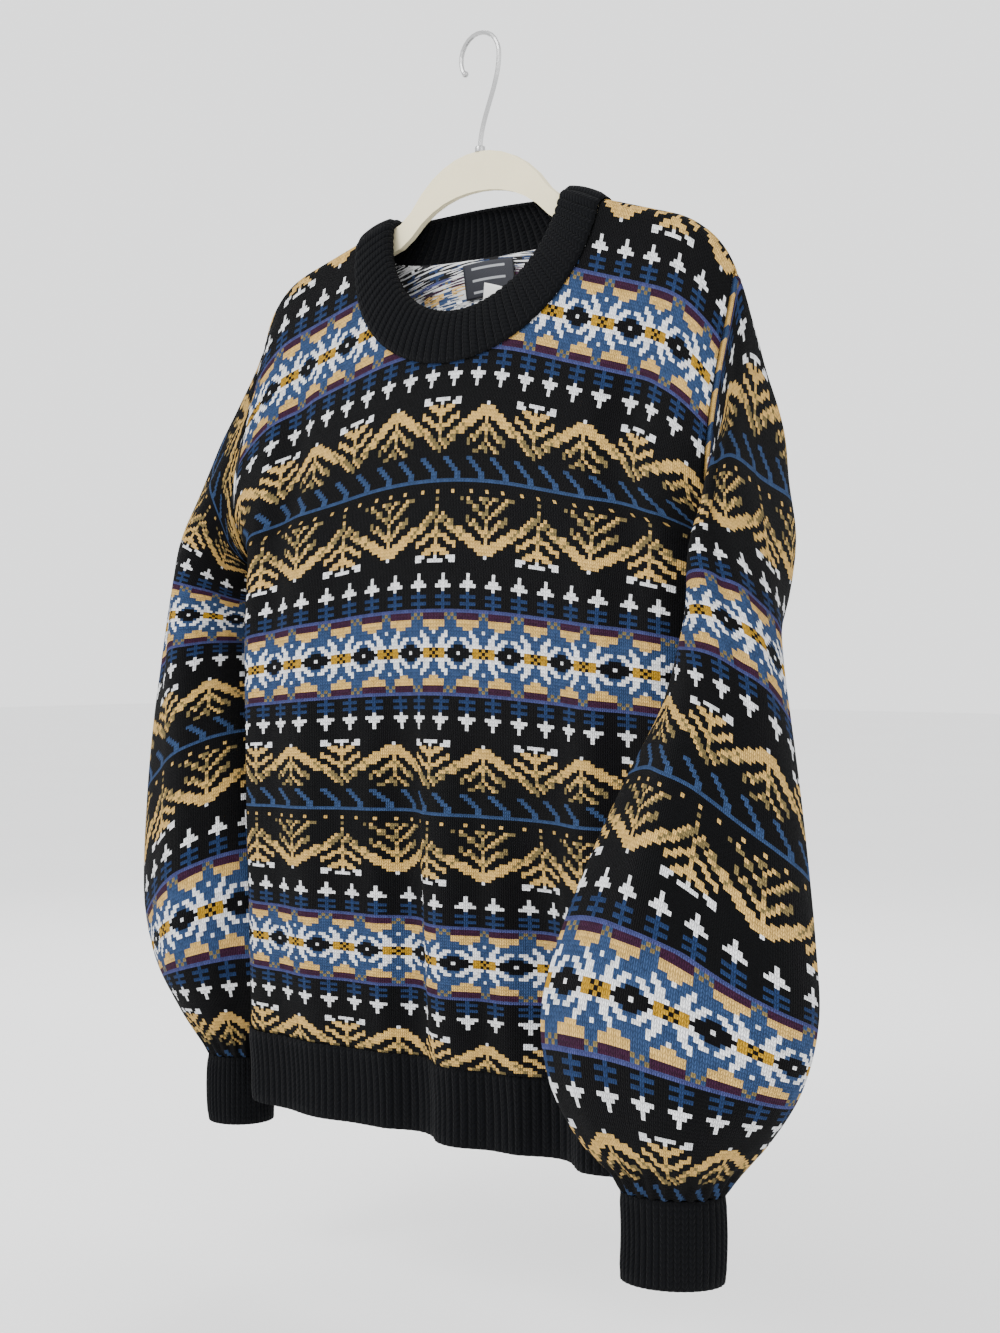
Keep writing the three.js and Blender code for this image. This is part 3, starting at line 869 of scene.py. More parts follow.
@dataclass(frozen=True)
class WovenFinish:
    """Fine woven tape, with a plain border and bare lines for its wording."""

    name: str
    color: Color
    thread: Color
    lines: int = 0

    def make(self) -> bpy.types.Material:
        """Makes the material.

        Returns:
            The material.
        """
        n = Nodes(self.name)
        uv = n.node("ShaderNodeUVMap", uv_map="stitches").outputs["UV"]
        split = n.node("ShaderNodeSeparateXYZ")
        n.put(split.inputs[0], uv)
        across, down = split.outputs[0], split.outputs[1]
        weft = n.math("SINE", n.math("MULTIPLY", across, 150.0))
        warp = n.math("SINE", n.math("MULTIPLY", down, 150.0))
        weave = n.math("MULTIPLY", weft, warp)
        inside = n.math("LESS_THAN", n.math("ABSOLUTE", n.math("SUBTRACT", across, 0.5)), 0.33)
        row = n.math("PINGPONG", n.math("MULTIPLY", down, float(max(self.lines, 1))), 0.5)
        line = n.math("MULTIPLY", n.math("GREATER_THAN", row, 0.40), inside)
        share = n.math("MULTIPLY", line, 0.9 if self.lines else 0.0)
        color = n.mix(share, (*self.color, 1.0), (*self.thread, 1.0))
        n.put(n.surface.inputs["Base Color"], color)
        n.put(n.surface.inputs["Roughness"], 0.6)
        n.bump(weave, 0.4, 0.0002)
        return n.material


@dataclass(frozen=True)
class HardFinish:
    """A hard surface with faint unevenness."""

    name: str
    color: Color
    roughness: float
    metal: float = 0.0
    grain: float = 900.0
    relief: float = 0.0001
    mottle: float = 0.06

    def make(self) -> bpy.types.Material:
        """Makes the material.

        Returns:
            The material.
        """
        n = Nodes(self.name)
        places = n.node("ShaderNodeTexCoord").outputs["Object"]
        fine = n.noise(places, self.grain, 3.0)
        slow = n.noise(places, 22.0, 2.0)
        darker = tuple(c * (1 - self.mottle * 2) for c in self.color)
        n.put(
            n.surface.inputs["Base Color"],
            n.mix(slow, (*darker, 1.0), (*self.color, 1.0)),
        )
        rough = n.math("ADD", n.math("MULTIPLY", fine, 0.12), self.roughness - 0.06)
        n.put(n.surface.inputs["Roughness"], rough)
        n.put(n.surface.inputs["Metallic"], self.metal)
        n.bump(fine, 0.35, self.relief)
        return n.material


KNIT = KnitFinish("patterned knit")
FLOATS = FloatFinish("patterned knit inside")
RIB = KnitFinish("black rib knit", plain=(0.003, 0.0033, 0.0042), relief=0.8)
LABEL_TAPE = WovenFinish("woven label", (0.006, 0.007, 0.014), (0.32, 0.33, 0.35), lines=3)
TAG_TAPE = WovenFinish("size tag tape", (0.80, 0.80, 0.78), (0.05, 0.05, 0.06), lines=1)
IVORY = HardFinish("ivory flock", (0.78, 0.70, 0.46), 0.85)
WIRE = HardFinish("bright wire", (0.42, 0.42, 0.42), 0.26, metal=1.0, mottle=0.02)


def yarn_colors(numbers: Grid, columns: Grid, rows: Grid) -> Grid:
    """Colours of the stitches, each a little different.

    Args:
        numbers: Yarn numbers, one for each stitch.
        columns: Stitch numbers across.
        rows: Row numbers.

    Returns:
        Colours, one for each stitch.
    """
    palette = np.array([YARN_COLORS[yarn] for yarn in YARN_ORDER])
    shade = 0.84 + 0.32 * hashed(columns[None, :], rows[:, None], 3.0)
    return palette[numbers] * shade[..., None]


# Pieces of the jumper


@dataclass(frozen=True)
class Gauge:
    """Stitches of the patterned knitting."""

    stitch: float = 3.18
    row: float = 2.51
    star_down: float = 80.0
    stretch: float = 24.0

    def pulled(self, down: Grid, length: float) -> Grid:
        """Where the rows hang once the cloth's weight has stretched its upper part.

        Args:
            down: Places down the unstretched cloth.
            length: Length of the cloth.

        Returns:
            Places down the hanging cloth, with both ends kept.
        """
        share = np.clip(down / length, 0, 1) ** 0.75
        return down + self.stretch * np.sin(math.pi * share)


class Panel:
    """The front or the back, one quad of mesh to a stitch."""

    def __init__(self, side: Side, form: BodyForm, gauge: Gauge, chart: FairIsleChart) -> None:
        self.side = side
        self.form = form
        self.gauge = gauge
        self.chart = chart
        self.node = "front_panel" if side is Side.FRONT else "back_panel"

    def creases(self, across: Grid, down: Grid) -> Grid:
        """Small soft creases that the solid leaves out.

        Args:
            across: Places across.
            down: Places down.

        Returns:
            Heights in millimetres.
        """
        s = self.form.size
        seed = 1.3 if self.side is Side.FRONT else 4.1
        edge = ease((s.half_width - np.abs(across)) / 30) * ease((down - 6) / 60)
        low = 1.1 + 1.6 * ease((down - 250) / 300)
        soft = low * wander(across, down, 420.0, 900.0, seed)
        cut = self.form.neck_cut(self.side, across)
        clear = ease((down - cut) / 40)
        drag = 2.4 * np.sin((np.abs(across) * 0.6 + down) / 26.0 + seed)
        near_arm = bell((np.abs(across) - 205) / 70) * bell((down - 190) / 120)
        return (soft + drag * near_arm) * edge * clear

    def build(self) -> bpy.types.Object:
        """Makes the panel.

        Returns:
            The knitted panel.
        """
        s, g = self.form.size, self.gauge
        count = round(2 * s.half_width / g.stitch)
        rows = round(s.length / g.row)
        across = np.linspace(-s.half_width, s.half_width, count + 1)
        if self.side is Side.BACK:
            across = across[::-1]
        down = g.pulled(np.linspace(0, s.length, rows + 1), s.length)
        wide, deep = np.meshgrid(across, down)
        cut = self.form.neck_cut(self.side, wide)
        keep = (deep > cut)[1:, :-1] & (deep > cut)[1:, 1:]
        deep = np.maximum(deep, cut)
        middle = self.form.middle(self.side, wide, deep)
        normal = self.form.normal(self.side, wide, deep)
        lift = s.wall / 2 + self.creases(wide, deep)
        sewn = 1.2 * bell((s.length - deep) / 4)
        points = middle + normal * (lift - sewn)[..., None]
        columns = np.arange(count) - count // 2
        numbers = np.arange(rows)
        from_star = np.floor((numbers + 0.5) - g.star_down / g.row)
        yarns = self.chart.stitches(columns, from_star)
        return ClothMesh(self.node + "_knit", points, ring=False).build(
            yarn_colors(yarns, columns, numbers), keep
        )

    def dress(self, piece: bpy.types.Object) -> None:
        """Finishes the panel.

        Args:
            piece: What build() made.
        """
        thicken(piece, 2.0)
        piece.data.materials.append(KNIT_MATERIALS["knit"])
        piece.data.materials.append(KNIT_MATERIALS["floats"])
        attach(piece, "root")
        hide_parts(self.node)


@dataclass(frozen=True)
class SleeveSection:
    """A section of a sleeve between its edge next to the body and its outer edge.

    half is half the depth, and rounding goes from the armhole's own outline at 0 to an
    ellipse at 1.
    """

    inner: tuple[float, float, float]
    outer: tuple[float, float, float]
    half: float
    rounding: float


LEFT_SECTIONS = (
    SleeveSection((250, 0, -430), (252, 0, -242), 52, 0.1),
    SleeveSection((255, -1, -430), (259, -2, -270), 55, 0.3),
    SleeveSection((259, -4, -438), (267, -11, -308), 58, 0.6),
    SleeveSection((260, -13, -453), (277, -25, -352), 60, 0.85),
    SleeveSection((258, -31, -474), (290, -40, -398), 60, 1),
    SleeveSection((254, -57, -501), (304, -49, -448), 57, 1),
    SleeveSection((247, -88, -538), (318, -56, -502), 53, 1),
    SleeveSection((236, -118, -585), (333, -66, -562), 50, 1),
    SleeveSection((220, -140, -643), (350, -79, -629), 48, 1),
    SleeveSection((205, -156, -702), (365, -91, -695), 47, 1),
    SleeveSection((197, -163, -750), (372, -98, -746), 46, 1),
    SleeveSection((203, -162, -795), (362, -102, -792), 44, 1),
    SleeveSection((220, -154, -832), (338, -106, -830), 38, 1),
    SleeveSection((236, -140, -856), (314, -105, -855), 30, 1),
    SleeveSection((242, -136, -868), (305, -108, -868), 26, 1),
)
RIGHT_SECTIONS = (
    SleeveSection((250, 0, -430), (252, 0, -242), 52, 0.1),
    SleeveSection((255, 0, -430), (265, 0, -270), 55, 0.3),
    SleeveSection((259, 0, -438), (285, 2, -306), 58, 0.6),
    SleeveSection((260, 0, -454), (309, 4, -348), 60, 0.85),
    SleeveSection((261, 0, -474), (332, 7, -394), 61, 1),
    SleeveSection((261, 1, -501), (350, 10, -444), 61, 1),
    SleeveSection((260, 2, -538), (367, 13, -500), 60, 1),
    SleeveSection((259, 3, -585), (382, 16, -562), 59, 1),
    SleeveSection((257, 4, -643), (396, 19, -630), 58, 1),
    SleeveSection((254, 5, -700), (405, 21, -694), 58, 1),
    SleeveSection((252, 6, -748), (405, 22, -744), 57, 1),
    SleeveSection((252, 6, -792), (389, 21, -790), 53, 1),
    SleeveSection((255, 5, -828), (352, 17, -827), 44, 1),
    SleeveSection((260, 4, -852), (323, 13, -852), 33, 1),
    SleeveSection((262, 4, -864), (316, 11, -864), 28, 1),
)

# Soft folds down a sleeve: place round it in turns, half width, height, first and last section
SLEEVE_FOLDS = (
    (0.17, 0.07, -12, 2, 9),
    (0.30, 0.06, 8, 3, 13),
    (0.42, 0.05, -8, 7, 15),
    (0.68, 0.08, -11, 3, 12),
    (0.86, 0.07, -8, 5, 15),
)


@dataclass(frozen=True)
class SleeveSize:
    """Stitches and rows of a sleeve, and the places of its star lines."""

    mirror: int
    stitches: int = 128
    row: float = 3.0
    star_down: float = 265.0
    outer_drop: float = 45.0
    back_lift: float = 28.0
    saddle: float = 4.0
    seam: float = 0.45
    turned_seam: float = 2.3
    roll_downs: tuple[float, ...] = (5.0, 10.0, 15.0)
    armhole_rows: int = 11


class Sleeve:
    """A sleeve from the armhole to the cuff, one quad of mesh to a stitch."""

    def __init__(
        self,
        node: str,
        size: SleeveSize,
        sections: Sequence[SleeveSection],
        form: BodyForm,
        chart: FairIsleChart,
    ) -> None:
        self.node = node
        self.size = size
        self.sections = sections
        self.form = form
        self.chart = chart

    def edge(self) -> tuple[Grid, Grid]:
        """The armhole edge, down the front and up the back.

        Returns:
            The points, and the direction on from the body cloth at each.
        """
        s, body = self.size, self.form.size
        spans = s.armhole_rows - len(s.roll_downs)
        lower = np.linspace(s.roll_downs[-1], body.armhole, spans + 1)[1:]
        down = np.concatenate([[0], s.roll_downs, lower])
        across = np.full_like(down, body.half_width * s.mirror)
        points, outs = [], []
        for side in (Side.FRONT, Side.BACK):
            middle = self.form.middle(side, across, down)
            normal = self.form.normal(side, across, down)
            before = middle[np.maximum(np.arange(len(down)) - 1, 0)]
            after = middle[np.minimum(np.arange(len(down)) + 1, len(down) - 1)]
            out = unit(np.cross(normal, unit(after - before)))
            out = out * np.sign(out[:, :1] * s.mirror)
            out[0, 1] = 0
            out[-1] = (0, 0, 1)
            out = unit(out)
            turned = np.array([k == 0 or k >= len(down) - 2 for k in range(len(down))])
            gap = np.where(turned, s.turned_seam, s.seam)[:, None]
            order = slice(None) if side is Side.FRONT else slice(None, None, -1)
            points.append((middle + out * gap)[order])
            outs.append(out[order])
        return np.concatenate(points), np.concatenate(outs)

    def section(self, section: SleeveSection, loop: Grid, depth: Grid, number: int) -> Grid:
        """One ring of the sleeve.

        Args:
            section: Its place and size.
            loop: The armhole's own outline as shares of its height.
            depth: The armhole's own outline in depth.
            number: The section's number, for the folds.

        Returns:
            The ring's points.
        """
        mirror = self.size.mirror
        inner = np.array(section.inner, float) * [mirror, 1, 1]
        outer = np.array(section.outer, float) * [mirror, 1, 1]
        centre, long = (inner + outer) / 2, (outer - inner) / 2
        lean = (np.hypot(long[0], long[1]) / np.linalg.norm(long)) ** 2
        across = unit(np.array([-long[1], long[0], 0.0])) * mirror
        deep = unit(np.array([0.0, 1.0, 0.0]) * (1 - lean) + across * lean)
        count = len(loop)
        half = count // 2
        k = np.arange(count)
        share = (np.mod(k, half) + 0.06) / (half - 1 + 0.12)
        angle = math.pi * (share + (k >= half))
        swell = np.full(count, float(section.half))
        for place, wide, height, first, last in SLEEVE_FOLDS:
            along = (number - first) / (last - first)
            lift = bell((angle / (2 * math.pi) - place) / wide) * bell(np.array(2 * along - 1))
            swell = swell + height * lift
        wide = loop * (1 - section.rounding) + np.cos(angle) * section.rounding
        thick = depth * (1 - section.rounding) - np.sin(angle) * swell * section.rounding
        return centre + np.outer(wide, long) + np.outer(thick, deep)

    def rings(self) -> Grid:
        """Rings down the sleeve, laid out evenly in stitches.

        Returns:
            One row of points for each ring, going round the same way seen from outside.
        """
        points, outs = self.edge()
        high, low = points[:, 2].max(), points[:, 2].min()
        loop = 2 * (points[:, 2] - low) / (high - low) - 1
        rough = [points, points + outs * self.size.saddle]
        for number, section in enumerate(self.sections, 1):
            rough.append(self.section(section, loop, points[:, 1], number))
        count = self.size.stitches
        return np.stack([even_ring(ring, count, start=-0.5) for ring in rough])

    def knitted(self, rings: Grid, length: Grid, rows: int) -> Grid:
        """Places of the rows of stitches on the sleeve's form.

        The rows bunch at the underarm and spread over the top, so they slant on the sleeve.

        Args:
            rings: Rings down the sleeve.
            length: How far down the top of the sleeve each ring is.
            rows: How many rows are knitted.

        Returns:
            One ring of points for each row.
        """
        s = self.size
        level = np.linspace(0, length[-1], rows + 1)
        turn = np.arange(s.stitches) / s.stitches * 2 * math.pi
        slant = s.outer_drop * np.cos(turn) - s.back_lift * np.sin(turn)
        fade = ease(level / 160) * ease((length[-1] - level) / 240)
        down = level[:, None] + fade[:, None] * slant
        numbers = np.arange(len(rings))
        columns = [
            catmull(rings[:, k], np.interp(down[:, k], length, numbers), closed=False)
            for k in range(s.stitches)
        ]
        return np.stack(columns, axis=1)

    def build(self) -> bpy.types.Object:
        """Makes the sleeve.

        Returns:
            The knitted sleeve.
        """
        s = self.size
        rings = self.rings()
        steps = np.linalg.norm(np.diff(rings[:, 0], axis=0), axis=1)
        length = np.concatenate([[0], np.cumsum(steps)])
        rows = round(length[-1] / s.row)
        points = np.roll(self.knitted(rings, length, rows), s.stitches // 2, axis=1)
        normal = grid_normals(points, ring=True)
        if ((points - points.mean(axis=1, keepdims=True)) * normal).sum() < 0:
            points, normal = points[:, ::-1], -normal[:, ::-1]
        around, down = np.meshgrid(np.arange(s.stitches), np.linspace(0, length[-1], rows + 1))
        turn = around / s.stitches * 2 * math.pi
        waves = np.sin(3 * turn + 1.5 * np.sin(down / 90) + s.mirror) + 0.7 * np.sin(
            5 * turn - down / 70 + 2 * s.mirror
        )
        pulled = bell((down - 90) / 120) * np.sin(down / 17 + 2 * np.sin(turn + 1)) * 1.4
        fade = ease((down - 10) / 80) * ease((length[-1] - down) / 24)
        gathers = bell((length[-1] - down) / 70) * np.sin(turn * 22) * 1.3
        lift = 1.5 + (1.7 * waves + pulled) * fade + gathers
        sewn = 1.4 * (bell(down / 4) + bell((length[-1] - down) / 4))
        points = points + normal * (lift - sewn)[..., None]
        columns = np.arange(s.stitches)
        numbers = np.arange(rows)
        from_star = np.floor(numbers + 0.5 - s.star_down / s.row)
        yarns = self.chart.stitches(columns, from_star)
        return ClothMesh(self.node + "_knit", points, ring=True).build(
            yarn_colors(yarns, columns, numbers)
        )

    def dress(self, piece: bpy.types.Object) -> None:
        """Finishes the sleeve.

        Args:
            piece: What build() made.
        """
        thicken(piece, 2.0)
        piece.data.materials.append(KNIT_MATERIALS["knit"])
        piece.data.materials.append(KNIT_MATERIALS["floats"])
        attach(piece, "root")
        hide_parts(self.node)


class RibbedBand:
    """A band of ribs, from rows of points and the way out at each."""

    def __init__(self, name: str, node: str, ribs: int, height: float = 1.7) -> None:
        self.name = name
        self.node = node
        self.ribs = ribs
        self.height = height

    def build(self, rows: Sequence[Grid], normals: Sequence[Grid], raises: Sequence[float]) -> bpy.types.Object:
        """Makes the band.

        Args:
            rows: Rings of points on the middle of the cloth.
            normals: Way out of the cloth at each point.
            raises: Share of the rib height for each ring.

        Returns:
            The ribbed band.
        """
        count = rows[0].shape[0]
        turn = np.arange(count) / count * 2 * math.pi * self.ribs
        ridge = 0.5 - 0.5 * np.cos(turn)
        points = np.stack(
            [row + out * (1.1 + self.height * share * ridge**0.8)[:, None]
             for row, out, share in zip(rows, normals, raises)]
        )
        made = ClothMesh(self.name, points, ring=True)
        return made.build(pitch=(self.ribs / count, 1.0))

    def dress(self, piece: bpy.types.Object) -> None:
        """Finishes the band.

        Args:
            piece: What build() made.
        """
        thicken(piece, 1.8)
        piece.data.materials.append(KNIT_MATERIALS["rib"])
        piece.data.materials.append(KNIT_MATERIALS["rib"])
        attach(piece, "root")
        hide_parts(self.node)


KNIT_MATERIALS: dict[str, bpy.types.Material] = {}


class HemRib:
    """The ribbed tube below both panels."""

    def __init__(self, form: BodyForm) -> None:
        self.form = form
        self.band = RibbedBand("hem_rib_knit", "hem_rib", ribs=160)

    def build(self) -> bpy.types.Object:
        """Makes the hem.

        Returns:
            The ribbed hem.
        """
        s = self.form.size
        half = self.band.ribs * 3
        across = np.linspace(-s.half_width, s.half_width, half, endpoint=False)
        parts = [(Side.FRONT, across), (Side.BACK, -across)]
        foot, out = [], []
        for side, places in parts:
            down = np.full_like(places, s.length)
            foot.append(self.form.middle(side, places, down))
            out.append(self.form.normal(side, places, down) * [1, 1, 0])
        middle, normal = np.concatenate(foot), unit(np.concatenate(out))
        normal = unit(normal + np.roll(normal, 1, axis=0) + np.roll(normal, -1, axis=0))
        rows, raises = [], []
        for share in np.linspace(0, 1, 15):
            inward = 3 * share + 1.3 * math.sin(math.pi * share)
            wave = 1.2 * share * np.sin(middle[:, 0] / 21.0 + 1.1)
            lowered = middle - normal * (inward - wave)[:, None] - [0, 0, s.seam + share * s.rib_length]
            rows.append(lowered)
            raises.append(0.35 + 0.65 * float(ease(np.array(min(share, 1 - share) * 6))))
        return self.band.build(rows, [normal] * len(rows), raises)

    def dress(self, piece: bpy.types.Object) -> None:
        """Finishes the hem.

        Args:
            piece: What build() made.
        """
        self.band.dress(piece)


class Cuff:
    """A ribbed cuff that goes straight down from its sleeve."""

    def __init__(self, node: str, sleeve: Sleeve, length: float = 60.0) -> None:
        self.sleeve = sleeve
        self.length = length
        self.band = RibbedBand(node + "_knit", node, ribs=40, height=1.5)

    def build(self) -> bpy.types.Object:
        """Makes the cuff.

        Returns:
            The ribbed cuff.
        """
        last = even_ring(self.sleeve.rings()[-1], self.band.ribs * 6)
        centre = last.mean(axis=0)
        along = np.roll(last, -1, axis=0) - np.roll(last, 1, axis=0)
        normal = unit(np.cross(along, [0, 0, 1.0]))
        if ((last - centre) * normal).sum() < 0:
            normal = -normal
        if np.cross(last[0] - centre, last[1] - centre)[2] < 0:
            last, normal = last[::-1], normal[::-1]
        rows, raises = [], []
        for share in np.linspace(0, 1, 15):
            slack = 1.4 * math.sin(3.3 * share) * np.sin(np.arange(len(last)) / 31.0)
            rows.append(last + normal * slack[:, None] - [0, 0, 0.3 + share * self.length])
            raises.append(0.4 + 0.6 * float(ease(np.array(min(share, 1 - share) * 6))))
        return self.band.build(rows, [normal] * len(rows), raises)

    def dress(self, piece: bpy.types.Object) -> None:
        """Finishes the cuff.

        Args:
            piece: What build() made.
        """
        self.band.dress(piece)


class Neckband:
    """The ribbed band round the neck, folded over at its inner edge."""

    def __init__(self, form: BodyForm) -> None:
        self.form = form
        self.band = RibbedBand("neckband_knit", "neckband", ribs=80, height=2.2)

    def place(self, side: Side, angle: Grid, width: float) -> tuple[Grid, Grid]:
        """Places on the band.

        Args:
            side: Front or back.
            angle: Round the neck from its lowest point.
            width: How far in from the neck edge.

        Returns:
            Points on the cloth, and the way out.
        """
        s = self.form.size
        deep = s.front_neck if side is Side.FRONT else s.back_neck
        across = (s.neck_half_width - width) * np.sin(angle)
        down = np.where(np.abs(angle) > 1.5691, 0, (deep - width) * np.cos(angle))
        return self.form.middle(side, across, down), self.form.normal(side, across, down)

    def ring(self, angles: Sequence[Grid], width: float) -> tuple[Grid, Grid]:
        """One ring of the band.

        Args:
            angles: Angles along the front, and along the back.
            width: How far in from the neck edge.

        Returns:
            Points and the way out.
        """
        front = self.place(Side.FRONT, angles[0], width)
        back = self.place(Side.BACK, angles[1], width)
        return np.concatenate([front[0], back[0]]), np.concatenate([front[1], back[1]])

    def build(self) -> bpy.types.Object:
        """Makes the neckband.

        Returns:
            The ribbed band.
        """
        s = self.form.size
        dense = np.linspace(-math.pi / 2, math.pi / 2, 801)
        lengths, total = [], 0.0
        for side in (Side.FRONT, Side.BACK):
            line = self.place(side, dense, s.neckband_width / 2)[0]
            steps = np.linalg.norm(np.diff(line, axis=0), axis=1)
            lengths.append(np.concatenate([[0], np.cumsum(steps)]))
            total += lengths[-1][-1]
        count = self.band.ribs * 6
        front_count = round(count * lengths[0][-1] / total)
        angles = []
        for length, wanted, turn in ((lengths[0], front_count, 1), (lengths[1], count - front_count, -1)):
            even = np.arange(wanted) / wanted * length[-1]
            angles.append(turn * np.interp(even, length, dense))
        rows, normals, raises = [], [], []
        profile = [(-2.2, 0.3, 0.3), (0.5, 1.3, 0.6)]
        profile += [(w, 1.0 + 1.8 * math.sin(math.pi * w / 36), 1.0) for w in np.linspace(3, 33, 11)]
        profile += [(35.0, 0.2, 0.8), (35.9, -1.6, 0.6), (35.6, -3.4, 0.3)]
        for width, stand, share in profile:
            points, out = self.ring(angles, width)
            for _ in range(4):
                out = unit(out + np.roll(out, 1, axis=0) + np.roll(out, -1, axis=0))
            rows.append(points + out * stand)
            normals.append(out)
            raises.append(share)
        return self.band.build(rows, normals, raises)

    def dress(self, piece: bpy.types.Object) -> None:
        """Finishes the neckband.

        Args:
            piece: What build() made.
        """
        self.band.dress(piece)


@dataclass(frozen=True)
class PlateSize:
    """A small piece sewn inside the back neck, placed on the flat cloth."""

    across: float
    down: float
    width: float
    height: float
    off: float
    tilt: float = 0.0


class NeckLabel:
    """A woven label or size tag that follows the inside of the back."""

    def __init__(self, node: str, slot: str, size: PlateSize, finish: WovenFinish, form: BodyForm) -> None:
        self.node = node
        self.slot = slot
        self.size = size
        self.finish = finish
        self.form = form

    def build(self) -> bpy.types.Object:
        """Makes the plate.

        Returns:
            The woven plate.
        """
        s = self.size
        wide, deep = np.meshgrid(np.linspace(-0.5, 0.5, 25), np.linspace(0, 1, 17))
        x = wide * s.width
        y = deep * s.height
        across = s.across + x * math.cos(s.tilt) - y * math.sin(s.tilt)
        down = s.down + y * math.cos(s.tilt) + x * math.sin(s.tilt)
        middle = self.form.middle(Side.BACK, across, down)
        normal = self.form.normal(Side.BACK, across, down)
        lift = 1.5 + s.off + 0.5 * bell(wide * 2) * np.sin(deep * 3.0)
        points = middle - normal * lift[..., None]
        return ClothMesh(self.node + "_woven", points, ring=False).build(pitch=(1 / 24, 1 / 16))

    def dress(self, piece: bpy.types.Object) -> None:
        """Finishes the plate.

        Args:
            piece: What build() made.
        """
        thicken(piece, 0.5)
        made = self.finish.make()
        piece.data.materials.append(made)
        piece.data.materials.append(made)
        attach(piece, "root")
        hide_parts(self.node)


# Hanger


@dataclass(frozen=True)
class HookSize:
    """The small fittings at the two ends of the hook's wire, in millimetres."""

    wire: float = 1.9
    collar_radius: float = 4.2
    collar_height: float = 5.0
    collar_z: float = -93.0
    knob_radius: float = 2.7


def start_clean() -> None:
    """Leaves object mode ready, with nothing selected."""
    if bpy.context.object is not None and bpy.context.object.mode != "OBJECT":
        bpy.ops.object.mode_set(mode="OBJECT")
    bpy.ops.object.select_all(action="DESELECT")


def settle(piece: bpy.types.Object) -> None:
    """Puts a hard piece's place into its mesh and smooths it.

    Args:
        piece: The piece.
    """
    start_clean()
    bpy.context.view_layer.objects.active = piece
    piece.select_set(True)
    for modifier in list(piece.modifiers):
        bpy.ops.object.modifier_apply(modifier=modifier.name)
    bpy.ops.object.transform_apply(location=True, rotation=True, scale=True)
    bpy.ops.object.shade_smooth_by_angle(angle=math.radians(40))
    piece.select_set(False)


class HangerFittings:
    """The plain board and wire as they are, with a collar and a knob for the hook."""

    def __init__(self, size: HookSize) -> None:
        self.size = size

    def build_collar(self) -> bpy.types.Object:
        """Makes the collar where the wire goes into the board.

        Returns:
            The collar.
        """
        s = self.size
        start_clean()
        bpy.ops.mesh.primitive_cylinder_add(
            vertices=40,
            radius=s.collar_radius * MM,
            depth=s.collar_height * MM,
            location=(0, 0, s.collar_z * MM),
        )
        collar = bpy.context.object
        collar.name = "hook_collar"
        bpy.ops.object.mode_set(mode="EDIT")
        bpy.ops.mesh.select_all(action="SELECT")
        bpy.ops.mesh.bevel(offset=0.7 * MM, segments=3, affect="EDGES")
        bpy.ops.object.mode_set(mode="OBJECT")
        settle(collar)
        return collar

    def build_knob(self) -> bpy.types.Object:
        """Makes the small round end of the wire.

        Returns:
            The knob.
        """
        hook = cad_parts["hook"]
        points = np.array([v.co for v in hook.data.vertices])
        # the free end is the lowest part of the bend on the side away from the stem
        bend = points[points[:, 2] > -0.03]
        side = bend[bend[:, 0] < -0.012] if (bend[:, 0] < -0.012).any() else bend
        end = side[side[:, 2] < side[:, 2].min() + 0.002].mean(axis=0)
        start_clean()
        bpy.ops.mesh.primitive_uv_sphere_add(
            segments=28, ring_count=16, radius=self.size.knob_radius * MM, location=tuple(end)
        )
        knob = bpy.context.object
        knob.name = "hook_knob"
        settle(knob)
        return knob

    def dress(self, fittings: Sequence[bpy.types.Object]) -> None:
        """Finishes the fittings, the board and the wire.

        Args:
            fittings: The collar and the knob.
        """
        ivory, wire = IVORY.make(), WIRE.make()
        for piece in fittings:
            piece.data.materials.append(wire)
            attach(piece, "root")
        board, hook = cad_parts["hanger"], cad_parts["hook"]
        for node, made in ((board, ivory), (hook, wire)):
            node.data.materials.clear()
            node.data.materials.append(made)
        hook.data.polygons.foreach_set("use_smooth", np.ones(len(hook.data.polygons), bool))
        rounded = board.modifiers.new("rounded edges", "BEVEL")
        rounded.width = 1.3 * MM
        rounded.segments = 3
        rounded.limit_method = "ANGLE"
        rounded.angle_limit = math.radians(50)


# Studio


@dataclass(frozen=True)
class CameraSize:
    """Where the camera stands and what it takes in, in metres and degrees."""

    azimuth: float = 40.0
    distance: float = 1.65
    height: float = -0.50
    lens: float = 54.8
    shift_x: float = 0.015
    shift_y: float = -0.0124


@dataclass(frozen=True)
class Lamp:
    """A soft lamp: place, what it faces, size and power."""

    name: str
    place: tuple[float, float, float]
    width: float
    power: float
    aim: tuple[float, float, float] = (0.0, 0.0, -0.5)


LAMPS = (
    Lamp("key", (-0.6, -2.6, 1.2), 1.5, 80.0),
    Lamp("fill", (2.8, -0.6, 0.2), 1.8, 20.0),
    Lamp("rim", (-1.6, 1.6, 0.8), 1.2, 26.0),
)


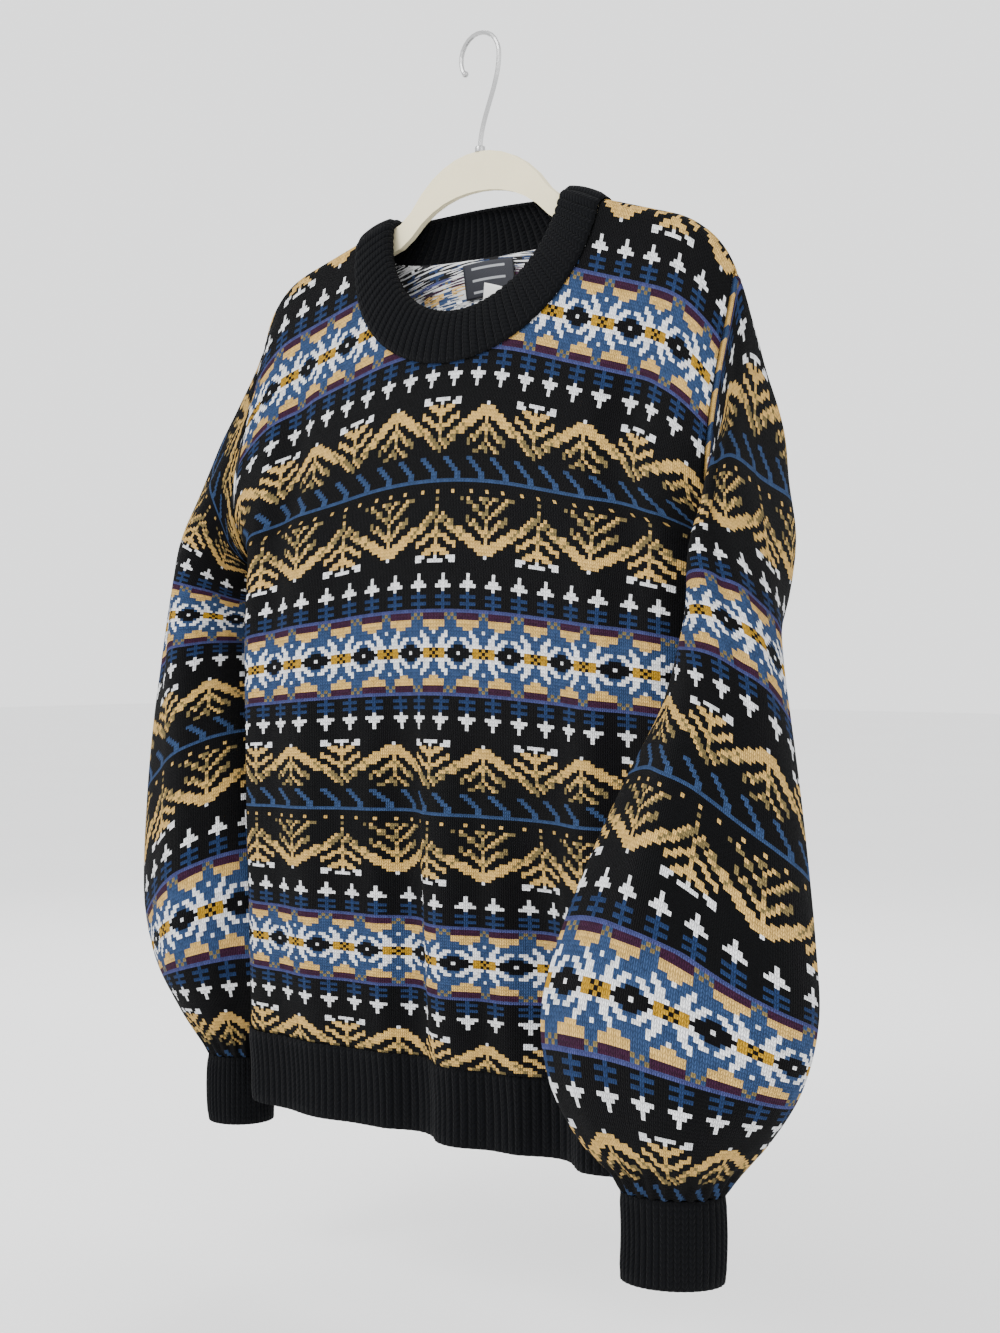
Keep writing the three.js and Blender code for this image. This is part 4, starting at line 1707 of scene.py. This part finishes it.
class Studio:
    """Camera, lamps and a plain pale floor."""

    def build_camera(self, size: CameraSize) -> None:
        """Makes the camera.

        Args:
            size: Its place and lens.
        """
        data = bpy.data.cameras.new("camera")
        camera = bpy.data.objects.new("camera", data)
        bpy.context.scene.collection.objects.link(camera)
        bpy.context.scene.camera = camera
        data.lens = size.lens
        data.shift_x = size.shift_x
        data.shift_y = size.shift_y
        turn = math.radians(size.azimuth)
        place = Vector((math.sin(turn), -math.cos(turn), 0)) * size.distance
        camera.location = place + Vector((0, 0, size.height))
        camera.rotation_euler = (math.pi / 2, 0, turn)
        data.clip_start = 0.05
        data.clip_end = 100

    def build_lights(self, lamps: Sequence[Lamp]) -> None:
        """Makes the lamps and the pale surroundings.

        Args:
            lamps: The table of lamps.
        """
        for lamp in lamps:
            data = bpy.data.lights.new(lamp.name, "AREA")
            data.size = lamp.width
            data.energy = lamp.power
            made = bpy.data.objects.new(lamp.name, data)
            bpy.context.scene.collection.objects.link(made)
            made.location = lamp.place
            aim = Vector(lamp.aim) - Vector(lamp.place)
            made.rotation_euler = aim.to_track_quat("-Z", "Y").to_euler()
        world = bpy.data.worlds.new("pale surroundings")
        bpy.context.scene.world = world
        world.use_nodes = True
        background = world.node_tree.nodes["Background"]
        background.inputs["Color"].default_value = (0.97, 0.975, 0.98, 1)
        background.inputs["Strength"].default_value = 1.9

    def build_floor(self, level: float) -> None:
        """Makes the floor.

        Args:
            level: Its height in metres.
        """
        start_clean()
        bpy.ops.mesh.primitive_plane_add(size=30, location=(0, 0, level))
        floor = bpy.context.object
        floor.name = "floor"
        n = Nodes("pale floor")
        places = n.node("ShaderNodeTexCoord").outputs["Object"]
        slow = n.noise(places, 2.0, 2.0)
        n.put(n.surface.inputs["Base Color"], n.mix(slow, (0.88, 0.88, 0.88, 1), (0.91, 0.91, 0.91, 1)))
        n.put(n.surface.inputs["Roughness"], 0.9)
        floor.data.materials.append(n.material)


def report(piece: bpy.types.Object) -> None:
    """Says what a piece came to.

    Args:
        piece: The piece.
    """
    log.info("%s: %d faces, %d points", piece.name, len(piece.data.polygons), len(piece.data.vertices))


def main() -> None:
    """Builds the jumper, its hanger and the studio, in order."""
    logging.basicConfig(level=logging.INFO, format="%(message)s")
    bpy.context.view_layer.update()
    studio = Studio()
    studio.build_camera(CameraSize())
    KNIT_MATERIALS["knit"] = KNIT.make()
    KNIT_MATERIALS["floats"] = FLOATS.make()
    KNIT_MATERIALS["rib"] = RIB.make()
    form, chart, gauge = BodyForm(BodySize()), FairIsleChart(), Gauge()
    left = Sleeve("sleeve_left", SleeveSize(mirror=1), LEFT_SECTIONS, form, chart)
    hanging = SleeveSize(mirror=-1, row=3.3, star_down=240.0, outer_drop=50.0, back_lift=0.0)
    right = Sleeve("sleeve_right", hanging, RIGHT_SECTIONS, form, chart)
    label = PlateSize(-4, 56, 54, 27, 0.9)
    tag = PlateSize(6, 76, 30, 24, 2.2, tilt=0.25)
    parts = {
        "front": Panel(Side.FRONT, form, gauge, chart),
        "back": Panel(Side.BACK, form, gauge, chart),
        "left": left,
        "right": right,
        "neck": Neckband(form),
        "hem": HemRib(form),
        "left_cuff": Cuff("cuff_left", left),
        "right_cuff": Cuff("cuff_right", right),
        "label": NeckLabel("neck_label", "label", label, LABEL_TAPE, form),
        "tag": NeckLabel("size_tag", "tag", tag, TAG_TAPE, form),
    }
    made = {}
    for name, part in parts.items():
        made[name] = part.build()
        part.dress(made[name])
        report(made[name])
    fittings = HangerFittings(HookSize())
    hard = [fittings.build_collar(), fittings.build_knob()]
    fittings.dress(hard)
    for piece in hard:
        report(piece)
    studio.build_lights(LAMPS)
    studio.build_floor(-1.05)
    bpy.context.view_layer.update()


if __name__ == "__main__":
    main()
